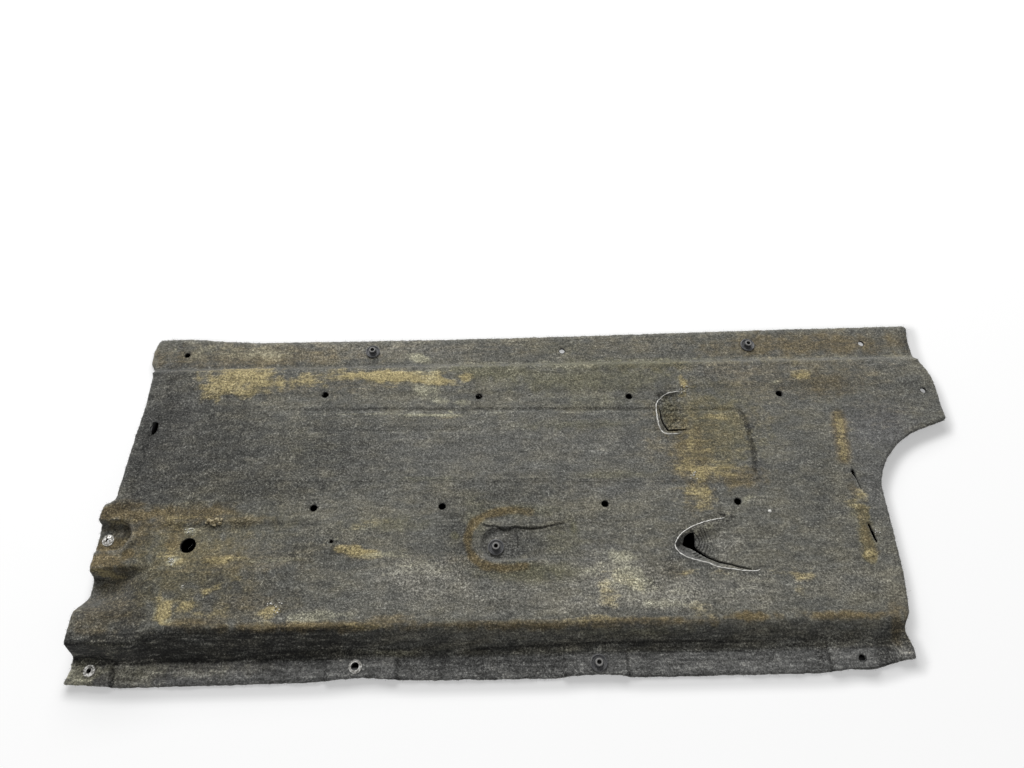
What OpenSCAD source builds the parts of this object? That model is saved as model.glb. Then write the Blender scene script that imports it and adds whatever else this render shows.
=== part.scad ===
// Side underbody panel of a car: one moulded felt sheet, trimmed to its outline,
// with the captive nuts, the eyelet and the washers that stay in it.
// Millimetres. X runs along the car, Y towards the sill, Z up from the floor it lies on.
// The origin is under the middle of the panel.

/* [Felt sheet] */
// Thickness of the felt
felt_t = 4; // [3:0.5:5]
// Overall length, from the front left corner to the tip of the ear
panel_l = 1227; // [1150:1:1300]
// Overall width, from the tunnel edge to the sill edge
panel_w = 528; // [500:1:560]
// How far the ear's tip reaches past the corner of the sill edge
ear_overhang = 10; // [6:1:20]
// How far the ear reaches past the straight end
ear_reach = 142.5; // [130:0.5:155]
// How far the field edge stands back from the lug edge
lug_reach = 15; // [12:1:24]
// How far the tunnel corner flares out past the lug edge
corner_flare = 5; // [2:0.5:6]
// Lean of the straight end, over its length
end_lean = 15; // [8:1:18]
// Sag of the sill edge between its ends
sill_edge_sag = 10.5; // [2:0.5:12]
// How far the tunnel edge is tucked in beside a raised pad
pad_tuck = 4; // [0:1:7]

/* [Formed levels] */
// Height of the field over the sill flange, at the sill
sill_rise = 10; // [7:0.5:14]
// Height of the field over the tunnel flange, at the lug end
tunnel_rise_lug = 36; // [30:1:42]
// Height of the field over the tunnel flange, at the straight end
tunnel_rise_end = 18; // [14:1:24]
// Width of the flat sill flange
sill_flange_w = 55; // [45:1:62]
// Run of the step from the sill flange up to the field
sill_step_run = 16; // [12:1:20]
// Width of the raised band beside the sill step
band_w = 36; // [28:1:44]
// Height of the raised band
band_h = 1.5; // [0.5:0.5:3]
// Width of the tunnel flange at the lug end
tunnel_flange_w = 32; // [28:1:38]
// Run of the steep wall over the tunnel flange
wall_run = 35; // [30:1:44]
// Height of the fastener pads on the tunnel flange
pad_h = 4; // [2:0.5:6]

/* [Ear and cutout] */
// Radius of the concave cutout
cutout_r = 133; // [120:1:145]
// Distance of the cutout's centre from the sill edge
cutout_from_sill = 315; // [300:1:330]
// Radius of the ear's round shoulder
ear_r = 85; // [60:1:95]
// Length of the ear's straight side
ear_side_l = 56; // [45:1:70]

/* [Lug] */
// Distance of the lug's seat from the tunnel edge
lug_seat_y = 194; // [185:1:200]
// Height of the lug's seat above the floor
lug_seat_z = 18; // [14:1:22]
// Width of the round-ended seat, along the lug edge
lug_seat_w = 34; // [28:1:38]
// Depth of the seat from the lug edge
lug_seat_l = 45; // [36:1:50]
// Width of the slope round the seat
lug_seat_wall = 5; // [4:0.5:8]
// Drop of the bar beside the seat
lug_bar_drop = 10; // [6:1:14]
// Height of the valley's floor above the floor
valley_z = 4.5; // [4:0.5:10]
// How far the valley runs in from the lug edge
valley_l = 95; // [70:1:120]

/* [Recess and ducts] */
// Half width of the round-ended recess for the middle nut
recess_r = 25; // [22:1:30]
// Height of the recess floor
recess_z = 20; // [16:1:23]
// Length of the recess ramp
recess_ramp_l = 80; // [60:1:100]
// Length of the large duct's ramp
duct_l = 108; // [90:1:120]
// Half width of the large duct at its open end
duct_half_w = 42; // [34:1:46]
// How much the large duct's tunnel side bulges, as a share of its half width
duct_bulge = 0.16; // [0:0.02:0.2]
// Depth of the large duct at its throat
duct_depth = 9; // [6:1:12]
// Length of the small duct
flap_l = 54; // [44:1:64]
// Width of the small duct
flap_w = 74; // [60:1:80]
// Depth of the small duct
flap_depth = 6; // [4:0.5:8]
// Width of the open slits beside the duct tongues
slit_w = 2.5; // [1.5:0.5:4]

/* [Pressed lines] */
// Width of the swage line pressed round the field
swage_w = 8; // [6:1:11]
// Depth of the swage line
swage_depth = 1; // [0.6:0.1:1.6]
// Width of the fold lines at both ends
fold_w = 9; // [6:1:12]
// Depth of the fold lines
fold_depth = 1.2; // [0.8:0.1:2]

/* [Holes] */
// Diameter of the drain holes in the field
drain_d = 10; // [8:1:12]
// Diameter of the large service hole
service_d = 21; // [16:1:24]
// Diameter of the small hole in the trough
pilot_d = 5; // [4:0.5:7]
// Diameter of the bare screw holes in the flanges
screw_d = 9; // [7:0.5:11]

/* [Captive fasteners] */
// Diameter of a captive nut's dished flange
nut_flange_d = 22; // [18:1:26]
// Diameter of a captive nut's collar
nut_collar_d = 11; // [9.5:0.5:13]
// Height of a captive nut's collar over the felt
nut_collar_h = 8; // [5:0.5:10]
// Bore of a captive nut
nut_bore_d = 5.2; // [4:0.2:6]
// Diameter of a captive nut's neck in the felt
nut_neck_d = 12; // [10:0.5:13]
// Diameter of the lip that holds a captive nut from below
nut_lip_d = 16; // [14:0.5:18]
// Outer diameter of the eyelet
eyelet_d = 17; // [15:0.5:20]
// Bore of the eyelet
eyelet_bore_d = 9.8; // [8:0.2:10.4]
// Outer diameter of the corner washer
corner_washer_d = 15; // [13:0.5:18]
// Hole of the corner washer
corner_washer_hole_d = 5.5; // [4:0.5:6]
// Outer diameter of the spring push-on washer
push_washer_d = 16; // [14:0.5:19]
// Hole of the spring push-on washer
push_washer_hole_d = 4.4; // [3.6:0.2:5]
// How far a fastener's flange sinks into the felt
squeeze = 0.4; // [0.1:0.1:1]
// Gap between a fastener and the felt round it
seat_gap = 0.15; // [0.05:0.05:0.3]

/* [Hidden] */
$fn = 48;

felt_colour = [0.36, 0.35, 0.33];
nut_colour = [0.30, 0.30, 0.30];
steel_colour = [0.80, 0.80, 0.78];

// Edges of the panel
left_x = -panel_l / 2;
ear_x = panel_l / 2;
tunnel_y = -panel_w / 2;
sill_y = panel_w / 2;
lug_x = left_x + corner_flare;
field_x = lug_x + lug_reach;
end_x = ear_x - ear_reach;
body_l = end_x - lug_x;
sill_corner_inset = 9;
sill_left_x = lug_x + sill_corner_inset;
sill_right_x = ear_x - ear_overhang;

// Formed lines across the panel
sill_step_y = sill_y - sill_flange_w;
sill_foot_y = sill_step_y - sill_step_run;
band_y = sill_foot_y - band_w;
wall_foot_y = tunnel_y + tunnel_flange_w;
wall_top_y = wall_foot_y + wall_run;
band_soft = 10;
wall_foot_shift = 5;
wall_top_drop = 17;

// Raised pads on the tunnel flange: middle and length, one for each fastener
pad_soft = 6;
lug_pad = [left_x + 27, 58];
eyelet_pad = [-237, 85];
nut_pad = [63.5, 76];
bare_pad = [end_x - 74.5, 56];
end_gutter_w = 22;
end_kick_h = 5;

// Places of the fasteners and bare holes
eyelet_at = [eyelet_pad[0] - 7.5, tunnel_y + 19.5];
tunnel_nut_at = [nut_pad[0] + 4, tunnel_y + 17.5];
corner_washer_at = [lug_x + 25, tunnel_y + 21.5];
bare_pad_hole_at = [bare_pad[0] + 10.5, tunnel_y + 16.5];
push_washer_at = [lug_x + 14, tunnel_y + lug_seat_y - 4];
recess_nut_at = [-62.5, tunnel_y + 168.5];
sill_row_y = sill_y - 32;
sill_nut_rear_at = [-254.5, sill_row_y];
sill_nut_front_at = [341.5, sill_row_y];
sill_bare_at = [[sill_left_x + 51.5, sill_row_y], [45.5, sill_row_y - 4],
  [sill_right_x - 79.5, sill_row_y]];
ear_hole_at = [ear_x - 21, sill_y - 125];
drain_at = [[lug_x + 288.5, 150], [-86, 143], [142, 138], [end_x - 99.5, 138.5],
  [lug_x + 292.5, -35], [-137, -36], [91, -36], [end_x - 193, -36]];
service_at = [lug_x + 128.5, -86];
pilot_at = [lug_x + 322.5, -85];

// Recess and ducts
recess_wall = 6;
recess_end_x = recess_nut_at[0] + 26;
duct_tip = [180.5, -96];
duct_throat_l = 24;
duct_wall = 9;
duct_throat = [[13, 0], [15, 9], [24, 16], [30, 17], [31.5, 5], [29.5, -1], [25, -5], [19, -3.5]];
// The slit beside the large tongue: run from the tip, and share of the duct's half width there
duct_slit = [[24, 0.1], [46, 0.67], [58, 0.81], [84, 0.92], [99, 0.935]];
flap_left_x = 180.5;
flap_y = 108;
flap_wall = 10;
flap_slit_x = flap_left_x + 7;
flap_low_y = flap_y - flap_w / 2 + flap_wall;
flap_high_y = flap_y + flap_w / 2 - flap_wall;
trough_depth = 2.5;
trough = [service_at + [-23, -27], service_at + [167, 25]];

// Felt held between a fastener's flange and lip, and the counterbore under the lip
grip = felt_t - squeeze;
lip_t = 1.2;
lip_bore_h = lip_t + 0.2;

// Swage: a round-cornered loop on the field that leans with the rows of holes
swage_lean = -0.0184;
swage_x = [lug_x + 202.5, end_x - 159];
swage_y = [1, 116];
swage_corner_r = 10;
rib_y = 81;
rib_x = [swage_x[0] + 22, -104];
fold_x = end_x - 17.5;
fold_y = [-119, 94];
lug_fold_x = lug_x + 40.5;
lug_fold_w = 12;
lug_fold_depth = 1.8;
torn_w = 5;

function clamp01(v) = min(1, max(0, v));
// Smooth rise from 0 at a to 1 at b
function rise(a, b, v) = let (q = clamp01((v - a) / (b - a))) q * q * (3 - 2 * q);
function mix(a, b, k) = a + (b - a) * k;
// 1 from a to b, falling smoothly to 0 over a soft edge outside
function band(a, b, soft, v) = rise(a - soft, a, v) * (1 - rise(b, b + soft, v));
function pad(p, x) = band(p[0] - p[1] / 2, p[0] + p[1] / 2, pad_soft, x);
function bump(middle, half, v) = 1 - rise(0, half, abs(v - middle));

// Level of the tunnel flange: four pads, then the gutter and the kicked-up corner
function flange_z(x) = felt_t
  + pad_h * max(pad(lug_pad, x), pad(eyelet_pad, x), pad(nut_pad, x), pad(bare_pad, x))
  + end_kick_h * rise(end_x - end_gutter_w, end_x - 6, x);

// Level of the field, which climbs from the sill to the tunnel
function tunnel_rise(x) = mix(tunnel_rise_lug, tunnel_rise_end, (x - lug_x) / body_l);
function climb(y) = clamp01((band_y - y) / (band_y - wall_top_y));
function field_z(x, y) = felt_t + mix(sill_rise, tunnel_rise(x), climb(y))
  + band_h * band(band_y, sill_foot_y, band_soft, y);

// The steep wall stands further out at the lug end
function lug_end(x) = 1 - rise(lug_x + 80, lug_x + 115, x);
function foot_y(x) = wall_foot_y - wall_foot_shift * band(lug_x + 70, lug_x + 300, 40, x)
  + 4 * (flange_z(x) - felt_t) / pad_h;
function top_y(x) = wall_top_y - wall_top_drop * lug_end(x);
function shell_z(x, y) = mix(
  mix(flange_z(x), field_z(x, y), rise(foot_y(x), top_y(x), y)),
  felt_t, rise(sill_foot_y, sill_step_y, y));

// Lug: a bar that drops beside the seat, a valley that cuts through the edge, and the seat
seat_y = tunnel_y + lug_seat_y;
bar_y = seat_y - lug_seat_w / 2;
valley_y = [tunnel_y + 122, tunnel_y + 138];
function lug_z(x, y, z) =
  let (
    inward = x - lug_x,
    bar = z - lug_bar_drop * (1 - rise(0, 60, inward)) * band(valley_y[1], bar_y, 6, y),
    valley = mix(bar, valley_z, (1 - rise(8, valley_l, inward))
      * rise(valley_y[0] - 38, valley_y[0], y) * (1 - rise(valley_y[1], valley_y[1] + 12, y))),
    round_end = max(0, inward - lug_seat_l + lug_seat_w / 2),
    off = norm([round_end, y - seat_y]),
    seat = 1 - rise(lug_seat_w / 2, lug_seat_w / 2 + lug_seat_wall, off))
  mix(valley, lug_seat_z, seat);

// Recess of the middle nut: a round-ended flat, then a ramp back up to the field
function recess_z_at(x, y, z) =
  let (
    run = max(0, recess_nut_at[0] - x, x - recess_end_x - recess_ramp_l),
    off = norm([run, y - recess_nut_at[1] - 3]),
    floor_z = mix(recess_z, z, clamp01((x - recess_end_x) / recess_ramp_l)))
  mix(z, floor_z, 1 - rise(recess_r - recess_wall, recess_r, off));

// Drop of the large duct, inside a parabola that opens from its tip
function duct_half(along) = duct_half_w * sqrt(along / duct_l);
function duct_drop(x, y) =
  let (
    along = max(0, x - duct_tip[0]),
    bulge = y < duct_tip[1] ? duct_bulge * band(duct_throat_l - 4, duct_l / 2, 20, along) : 0,
    half = duct_half(along) * (1 + bulge),
    wall = duct_wall * (1 + rise(duct_tip[1] - 6, duct_tip[1] + 10, y)),
    inside = rise(0, wall, half - abs(y - duct_tip[1])))
  duct_depth * inside * (1 - rise(duct_throat_l, duct_l, along));

// Drop of the small duct, behind a straight lip
function flap_drop(x, y) =
  flap_depth * rise(flap_left_x, flap_left_x + flap_wall, x)
  * band(flap_low_y, flap_high_y, flap_wall, y)
  * (1 - clamp01((x - flap_left_x - flap_wall) / (flap_l - flap_wall)));

function trough_drop(x, y) =
  trough_depth * band(trough[0][0], trough[1][0], 24, x) * band(trough[0][1], trough[1][1], 9, y);

// Rise of the swage over the field: a ridge on the tunnel side that turns into a groove
function swage_rise(x, y) =
  let (
    s = y - swage_lean * x,
    qx = abs(x - (swage_x[0] + swage_x[1]) / 2) - (swage_x[1] - swage_x[0]) / 2 + swage_corner_r,
    qy = abs(s - (swage_y[0] + swage_y[1]) / 2) - (swage_y[1] - swage_y[0]) / 2 + swage_corner_r,
    off = norm([max(qx, 0), max(qy, 0)]) + min(max(qx, qy), 0) - swage_corner_r,
    loop = bump(0, swage_w / 2, off) * mix(1, -1, rise(swage_y[0] + 6, swage_y[0] + 26, s)),
    rib = -0.7 * bump(rib_y, swage_w / 2, s) * band(rib_x[0], rib_x[1], 20, x))
  swage_depth * (loop + rib);

// Drop of the fold line at the straight end
function fold_drop(x, y) =
  fold_depth * bump(fold_x, fold_w / 2, x) * band(fold_y[0], fold_y[1], 16, y);

// Height of the felt's upper side
function top_z(x, y) =
  recess_z_at(x, y, lug_z(x, y, shell_z(x, y))) + swage_rise(x, y)
  - duct_drop(x, y) - flap_drop(x, y) - trough_drop(x, y) - fold_drop(x, y);

// Upright thickness that leaves the felt its true thickness on a slope
function upright_t(x, y) =
  let (
    e = 0.5,
    sx = (top_z(x + e, y) - top_z(x - e, y)) / (2 * e),
    sy = (top_z(x, y + e) - top_z(x, y - e)) / (2 * e))
  felt_t * sqrt(1 + sx * sx + sy * sy);

// Grid lines: the formed places in order, with others between where they lie far apart
function sorted(v) = len(v) <= 1 ? v
  : let (pivot = v[floor(len(v) / 2)])
    concat(sorted([for (q = v) if (q < pivot) q]), [pivot], sorted([for (q = v) if (q > pivot) q]));
function spaced(v, least) = [for (i = [0 : len(v) - 1]) if (i == 0 || v[i] - v[i - 1] > least) v[i]];
function filled(v, most) = concat([for (i = [0 : len(v) - 2])
  let (n = ceil((v[i + 1] - v[i]) / most)) for (k = [0 : n - 1]) mix(v[i], v[i + 1], k / n)],
  [v[len(v) - 1]]);
function steps(a, b, n) = [for (k = [0 : n]) mix(a, b, k / n)];

trim_margin = 9;
least_gap = 2.6;
lines_x = filled(spaced(sorted(concat(
  [left_x - trim_margin],
  steps(lug_x, lug_x + lug_seat_l - lug_seat_w / 2, 2),
  steps(lug_x + lug_seat_l - lug_seat_w / 2, lug_x + lug_seat_l + lug_seat_wall, 5),
  [lug_x + 60, lug_x + valley_l],
  steps(swage_x[0] - swage_w / 2, swage_x[0] + swage_w / 2, 2),
  steps(swage_x[1] - swage_w / 2, swage_x[1] + swage_w / 2, 2),
  [for (p = [eyelet_pad, nut_pad, bare_pad]) each
    [p[0] - p[1] / 2 - pad_soft, p[0] - p[1] / 2, p[0] + p[1] / 2, p[0] + p[1] / 2 + pad_soft]],
  steps(fold_x - fold_w / 2, fold_x + fold_w / 2, 2),
  [end_x - 6, end_x + end_lean, ear_x + trim_margin],
  steps(recess_nut_at[0] - recess_r, recess_nut_at[0], 3),
  [recess_end_x, recess_end_x + recess_ramp_l],
  steps(duct_tip[0], duct_tip[0] + duct_throat_l, 4),
  steps(duct_tip[0] + duct_throat_l, duct_tip[0] + duct_l, 6)
)), least_gap), 62);
rows_y = filled(spaced(sorted(concat(
  [tunnel_y - trim_margin],
  steps(wall_foot_y - wall_foot_shift, wall_top_y, 7),
  [valley_y[0] - 20, valley_y[0], valley_y[1], valley_y[1] + 12],
  [bar_y - lug_seat_wall, bar_y],
  [seat_y + 0.36 * lug_seat_w, seat_y + lug_seat_w / 2, seat_y + lug_seat_w / 2 + lug_seat_wall],
  steps(duct_tip[1] - duct_half_w, duct_tip[1] - 12, 4),
  steps(duct_tip[1] - 12, duct_tip[1] + 12, 4),
  steps(duct_tip[1] + 12, duct_tip[1] + duct_half_w, 4),
  steps(swage_y[0] - swage_w / 2, swage_y[0] + swage_w / 2, 2),
  steps(swage_y[1] - swage_w / 2, swage_y[1] + swage_w / 2, 2),
  steps(rib_y - swage_w / 2, rib_y + swage_w / 2, 2),
  [flap_low_y - flap_wall - 2, flap_high_y, flap_high_y + flap_wall],
  [band_y - band_soft, band_y],
  steps(sill_foot_y, sill_step_y, 4),
  [sill_y + trim_margin]
)), least_gap), 40);
// The rows lean with the swage where they cross the field
function row_y(r, x) = r + swage_lean * x * band(swage_y[0] - swage_w, swage_y[1] + swage_w, 26, r);

// The moulded sheet before it is trimmed: an upper and a lower skin over one grid
module moulded_sheet() {
  nx = len(lines_x);
  ny = len(rows_y);
  upper = [for (r = rows_y) for (x = lines_x) let (y = row_y(r, x)) [x, y, top_z(x, y)]];
  lower = [for (p = upper) [p[0], p[1], max(0, p[2] - upright_t(p[0], p[1]))]];
  below = nx * ny;
  last_row = (ny - 1) * nx;
  cells = [for (j = [0 : ny - 2]) for (i = [0 : nx - 2]) j * nx + i];
  polyhedron(concat(upper, lower), concat(
    [for (c = cells) each [[c, c + nx, c + nx + 1], [c, c + nx + 1, c + 1]]],
    [for (c = cells) let (d = c + below) each [[d, d + nx + 1, d + nx], [d, d + 1, d + nx + 1]]],
    [for (i = [0 : nx - 2]) each [[i, i + 1, below + i + 1], [i, below + i + 1, below + i]]],
    [for (i = [0 : nx - 2]) let (c = last_row + i)
      each [[c, below + c + 1, c + 1], [c, below + c, below + c + 1]]],
    [for (j = [0 : ny - 2]) let (c = j * nx)
      each [[c, below + c, below + c + nx], [c, below + c + nx, c + nx]]],
    [for (j = [0 : ny - 2]) let (c = j * nx + nx - 1)
      each [[c, c + nx, below + c + nx], [c, below + c + nx, below + c]]]
  ), convexity = 8);
}

function arc(centre, r, from, to, n) =
  [for (k = [0 : n]) let (a = mix(from, to, k / n)) centre + r * [cos(a), sin(a)]];

// Trimmed outline, counterclockwise from the tunnel corner at the lug end
cutout_centre = [ear_x + 2.5, sill_y - cutout_from_sill];
cutout_start_y = 38;
cutout_from = 180 - asin(cutout_start_y / cutout_r);
cutout_to = 107;
lug_corner_r = 7;
lug_top_y = seat_y + 48;
sill_corner_r = 4;
ear_low_y = cutout_centre[1] + cutout_r * sin(cutout_to) + 12;
shoulder_y = ear_low_y + ear_side_l;
function tunnel_edge(x) = tunnel_y + 2 * bump(-250, 420, x)
  + pad_tuck * max([for (p = [eyelet_pad, nut_pad, bare_pad]) bump(p[0], p[1] * 0.8, x)])
  + 5 * (1 - rise(lug_x, lug_x + 80, x));
function sill_edge(x) = sill_y - (1 - rise(-200, sill_right_x + 36, x))
  * mix(2, sill_edge_sag, rise(sill_left_x + 50, sill_left_x + 150, x));
outline = concat(
  [[left_x, tunnel_y + 6.5], [left_x + 3, tunnel_y + 5.5]],
  [for (x = steps(lug_x + 18, end_x - 55, 40)) [x, tunnel_edge(x)]],
  [[end_x - 34, tunnel_y + 6.5], [end_x - 14, tunnel_y + 12], [end_x - 2, tunnel_y + 14]],
  [[end_x + 6, tunnel_y + 14], [end_x + 6.5, tunnel_y + 24], [end_x + 3, wall_foot_y + 8]],
  [[end_x - 2, wall_foot_y + 18], [end_x, wall_foot_y + 28], [end_x + 6.5, wall_top_y + 3]],
  [[end_x + 9, wall_top_y + 24], [end_x + end_lean - 1.5, wall_top_y + 56]],
  arc(cutout_centre, cutout_r, cutout_from, cutout_to, 14),
  [[ear_x - 2, ear_low_y], [ear_x, ear_low_y + 4]],
  arc([ear_x - ear_r, shoulder_y], ear_r, 0, 32, 6),
  [[sill_right_x - sill_corner_r, sill_step_y + 6], [sill_right_x - sill_corner_r, sill_row_y]],
  arc([sill_right_x - sill_corner_r, sill_y - sill_corner_r], sill_corner_r, 0, 90, 3),
  [for (x = steps(sill_right_x - 10, sill_left_x + 10, 24)) [x, sill_edge(x)]],
  arc([sill_left_x + 8, sill_edge(sill_left_x + 8) - 6], 6, 90, 180, 3),
  [[sill_left_x - 2, sill_row_y + 8], [sill_left_x - 2, sill_step_y + 8], [field_x, sill_step_y - 5]],
  [[field_x + 4.5, sill_foot_y - 4], [field_x + 4, band_y], [field_x - 0.5, lug_top_y + 6]],
  arc([lug_x + lug_corner_r, lug_top_y - lug_corner_r], lug_corner_r, 90, 180, 4),
  [[lug_x, wall_foot_y + 6], [lug_x - 0.5, wall_foot_y - 10]]
);

// Foot of a fastener's flange
function seat(p) = [p[0], p[1], top_z(p[0], p[1]) - squeeze];

// Room for a fastener: a flat seat, the hole through the felt and a counterbore below it
module seat_cut(p, flange_d, neck_d, lip_d) {
  translate(seat(p)) {
    cylinder(h = 20, d = flange_d + 2);
    translate([0, 0, -30]) cylinder(h = 40, d = neck_d + 2 * seat_gap);
    if (lip_d > 0) translate([0, 0, -30]) cylinder(h = 30 - grip + lip_bore_h, d = lip_d + 2 * seat_gap);
  }
}

module hole(p, d) {
  translate([p[0], p[1], -1]) cylinder(h = 80, d = d);
}

// A shallow crease pressed into the upper side, which runs out at both ends
module crease(a, b, w, depth) {
  r = (w * w / 4 + depth * depth) / (2 * depth);
  from = [a[0], a[1], top_z(a[0], a[1]) + r - depth];
  to = [b[0], b[1], top_z(b[0], b[1]) + r - depth];
  d = to - from;
  l = norm(d);
  taper = 1.5 * w;
  translate(from)
    rotate([0, acos(d[2] / l), atan2(d[1], d[0])])
      rotate_extrude()
        polygon([[0, 0], [r - depth, 0], [r, taper], [r, l - taper], [r - depth, l], [0, l]]);
}

module slit(points, w) {
  for (p = points) translate([p[0], p[1], -1]) cylinder(h = 80, d = w);
  for (i = [0 : len(points) - 2]) {
    d = points[i + 1] - points[i];
    translate([points[i][0], points[i][1], -1])
      rotate([0, 0, atan2(d[1], d[0])])
        translate([0, -w / 2, 0]) cube([norm(d), w, 80]);
  }
}

module openings() {
  for (p = drain_at) hole(p, drain_d);
  hole(service_at, service_d);
  hole(pilot_at, pilot_d);
  for (p = sill_bare_at) hole(p, screw_d);
  hole(ear_hole_at, screw_d);
  hole(bare_pad_hole_at, screw_d);
}

// Throat of the large duct and the slits that free the two tongues
module duct_cuts() {
  translate([duct_tip[0], duct_tip[1], -1]) linear_extrude(80) polygon(duct_throat);
  slit([for (p = duct_slit) duct_tip + [p[0], -p[1] * duct_half(p[0])]], slit_w);
  slit([[flap_slit_x, flap_y + 9], [flap_slit_x, flap_y - 6], [flap_slit_x + 7, flap_low_y],
    [flap_left_x + flap_l - 12, flap_low_y]], slit_w * 0.8);
}

// Slots and creases at the folds
module fold_cuts() {
  slit([[lug_fold_x, 90], [lug_fold_x + 2, 106]], torn_w);
  slit([[fold_x - 1, 9], [fold_x + 1, 1]], torn_w);
  slit([[fold_x + 1, 3], [fold_x + 4, -21]], torn_w / 3);
  slit([[fold_x + 1, -72], [fold_x + 5.5, -99]], torn_w * 0.7);
  crease([lug_fold_x + 2, 84], [lug_fold_x - 5, -4], lug_fold_w, lug_fold_depth);
  crease([fold_x - 4, -122.5], [fold_x - 74, -126.5], fold_w, fold_depth);
}

module felt_panel() {
  color(felt_colour) difference() {
    intersection() {
      moulded_sheet();
      translate([0, 0, -5]) linear_extrude(80) polygon(outline);
    }
    union() {
      seat_cut(sill_nut_rear_at, nut_flange_d, nut_neck_d, nut_lip_d);
      seat_cut(sill_nut_front_at, nut_flange_d, nut_neck_d, nut_lip_d);
      seat_cut(recess_nut_at, nut_flange_d, nut_neck_d, nut_lip_d);
      seat_cut(tunnel_nut_at, nut_flange_d, nut_neck_d, nut_lip_d);
      seat_cut(eyelet_at, eyelet_d, eyelet_bore_d + 2 * eyelet_wall, eyelet_lip_d);
      seat_cut(corner_washer_at, corner_washer_d, corner_barrel_d, corner_lip_d);
      seat_cut(push_washer_at, push_washer_d, push_washer_hole_d + 2, 0);
    }
    openings();
    duct_cuts();
    fold_cuts();
  }
}

// Captive nut: a dished flange with a tall collar, a neck through the felt and a lower lip
module captive_nut(p) {
  bore = nut_bore_d / 2;
  collar = nut_collar_d / 2;
  flange = nut_flange_d / 2;
  neck = nut_neck_d / 2;
  lip = nut_lip_d / 2;
  color(nut_colour) translate(seat(p)) rotate_extrude()
    polygon([[bore, -grip], [lip, -grip], [lip, lip_t - grip], [neck, lip_t - grip], [neck, 0],
      [flange, 0], [flange, 2.2], [flange - 0.9, 2.6], [flange - 1.8, 2.2], [flange - 3, 1.2],
      [collar + 0.5, 1], [collar, 1.5], [collar - 0.4, nut_collar_h - 0.6], [collar - 1, nut_collar_h],
      [bore + 0.6, nut_collar_h], [bore, nut_collar_h - 0.6]]);
}

eyelet_wall = 1;
eyelet_lip_d = 15;
eyelet_collar_h = 3.2;

// Steel eyelet: a rolled rim on the felt, a barrel and a flare below
module tunnel_eyelet() {
  bore = eyelet_bore_d / 2;
  barrel = bore + eyelet_wall;
  rim = eyelet_d / 2;
  lip = eyelet_lip_d / 2;
  color(steel_colour) translate(seat(eyelet_at)) rotate_extrude()
    polygon([[bore, -grip], [lip, -grip], [lip, 0.8 - grip], [barrel, lip_t - grip], [barrel, 0],
      [rim, 0], [rim, 0.8], [rim - 0.8, 1.4], [barrel + 1, 2.2], [barrel, eyelet_collar_h],
      [bore + 0.4, eyelet_collar_h], [bore, eyelet_collar_h - 0.4]]);
}

corner_barrel_d = 8;
corner_lip_d = 12;

// Steel washer riveted into the corner: a flat rim, a barrel and a flare below
module corner_washer() {
  bore = corner_washer_hole_d / 2;
  barrel = corner_barrel_d / 2;
  rim = corner_washer_d / 2;
  lip = corner_lip_d / 2;
  color(steel_colour) translate(seat(corner_washer_at)) rotate_extrude()
    polygon([[bore, -grip], [lip, -grip], [lip, 0.8 - grip], [barrel, lip_t - grip], [barrel, 0],
      [rim, 0], [rim, 0.9], [rim - 0.5, 1.2], [bore + 2.6, 1.2], [bore + 1.8, 1.8],
      [bore + 0.6, 1.8], [bore, 1.2]]);
}

push_washer_t = 0.8;
push_washer_teeth = 4;

// Spring push-on washer: a domed disc whose hole is split into teeth
module lug_push_washer() {
  rim = push_washer_d / 2;
  hole_r = push_washer_hole_d / 2;
  color(steel_colour) translate(seat(push_washer_at)) difference() {
    rotate_extrude()
      polygon([[hole_r, 1.5], [rim - 2.2, 0.7], [rim - 1.6, 0], [rim, 0], [rim, push_washer_t],
        [rim - 1.4, push_washer_t], [rim - 2, 0.7 + push_washer_t], [hole_r, 1.5 + push_washer_t]]);
    for (k = [0 : push_washer_teeth - 1])
      rotate([0, 0, 35 + k * 360 / push_washer_teeth])
        translate([0, -0.5, -1]) cube([rim - 2.8, 1, 6]);
  }
}

felt_panel();
captive_nut(sill_nut_rear_at);  // sill_nut_rear
captive_nut(sill_nut_front_at);  // sill_nut_front
captive_nut(recess_nut_at);  // recess_nut
captive_nut(tunnel_nut_at);  // tunnel_nut
tunnel_eyelet();
corner_washer();
lug_push_washer();
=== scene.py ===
"""Looks of the side underbody panel: needled felt, its dirt and wear with painted light and shade on it, its
fasteners and the stage with a painted shadow.
"""

import math

import bpy
import numpy as np
from mathutils.geometry import delaunay_2d_cdt
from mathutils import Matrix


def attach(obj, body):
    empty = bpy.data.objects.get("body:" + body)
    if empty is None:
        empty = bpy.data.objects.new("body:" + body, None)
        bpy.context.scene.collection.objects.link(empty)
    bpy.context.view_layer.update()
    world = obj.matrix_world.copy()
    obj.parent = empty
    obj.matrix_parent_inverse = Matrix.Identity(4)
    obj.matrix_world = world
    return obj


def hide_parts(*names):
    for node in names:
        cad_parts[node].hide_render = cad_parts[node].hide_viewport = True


bl_info = {
    "name": "Side underbody panel",
    "version": (1, 0, 0),
    "blender": (4, 5, 0),
    "location": "3D View > Sidebar > Underbody Panel",
    "description": "Builds the felt of a side underbody panel, its wear, its fasteners and a stage",
    "category": "Object",
}

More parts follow.
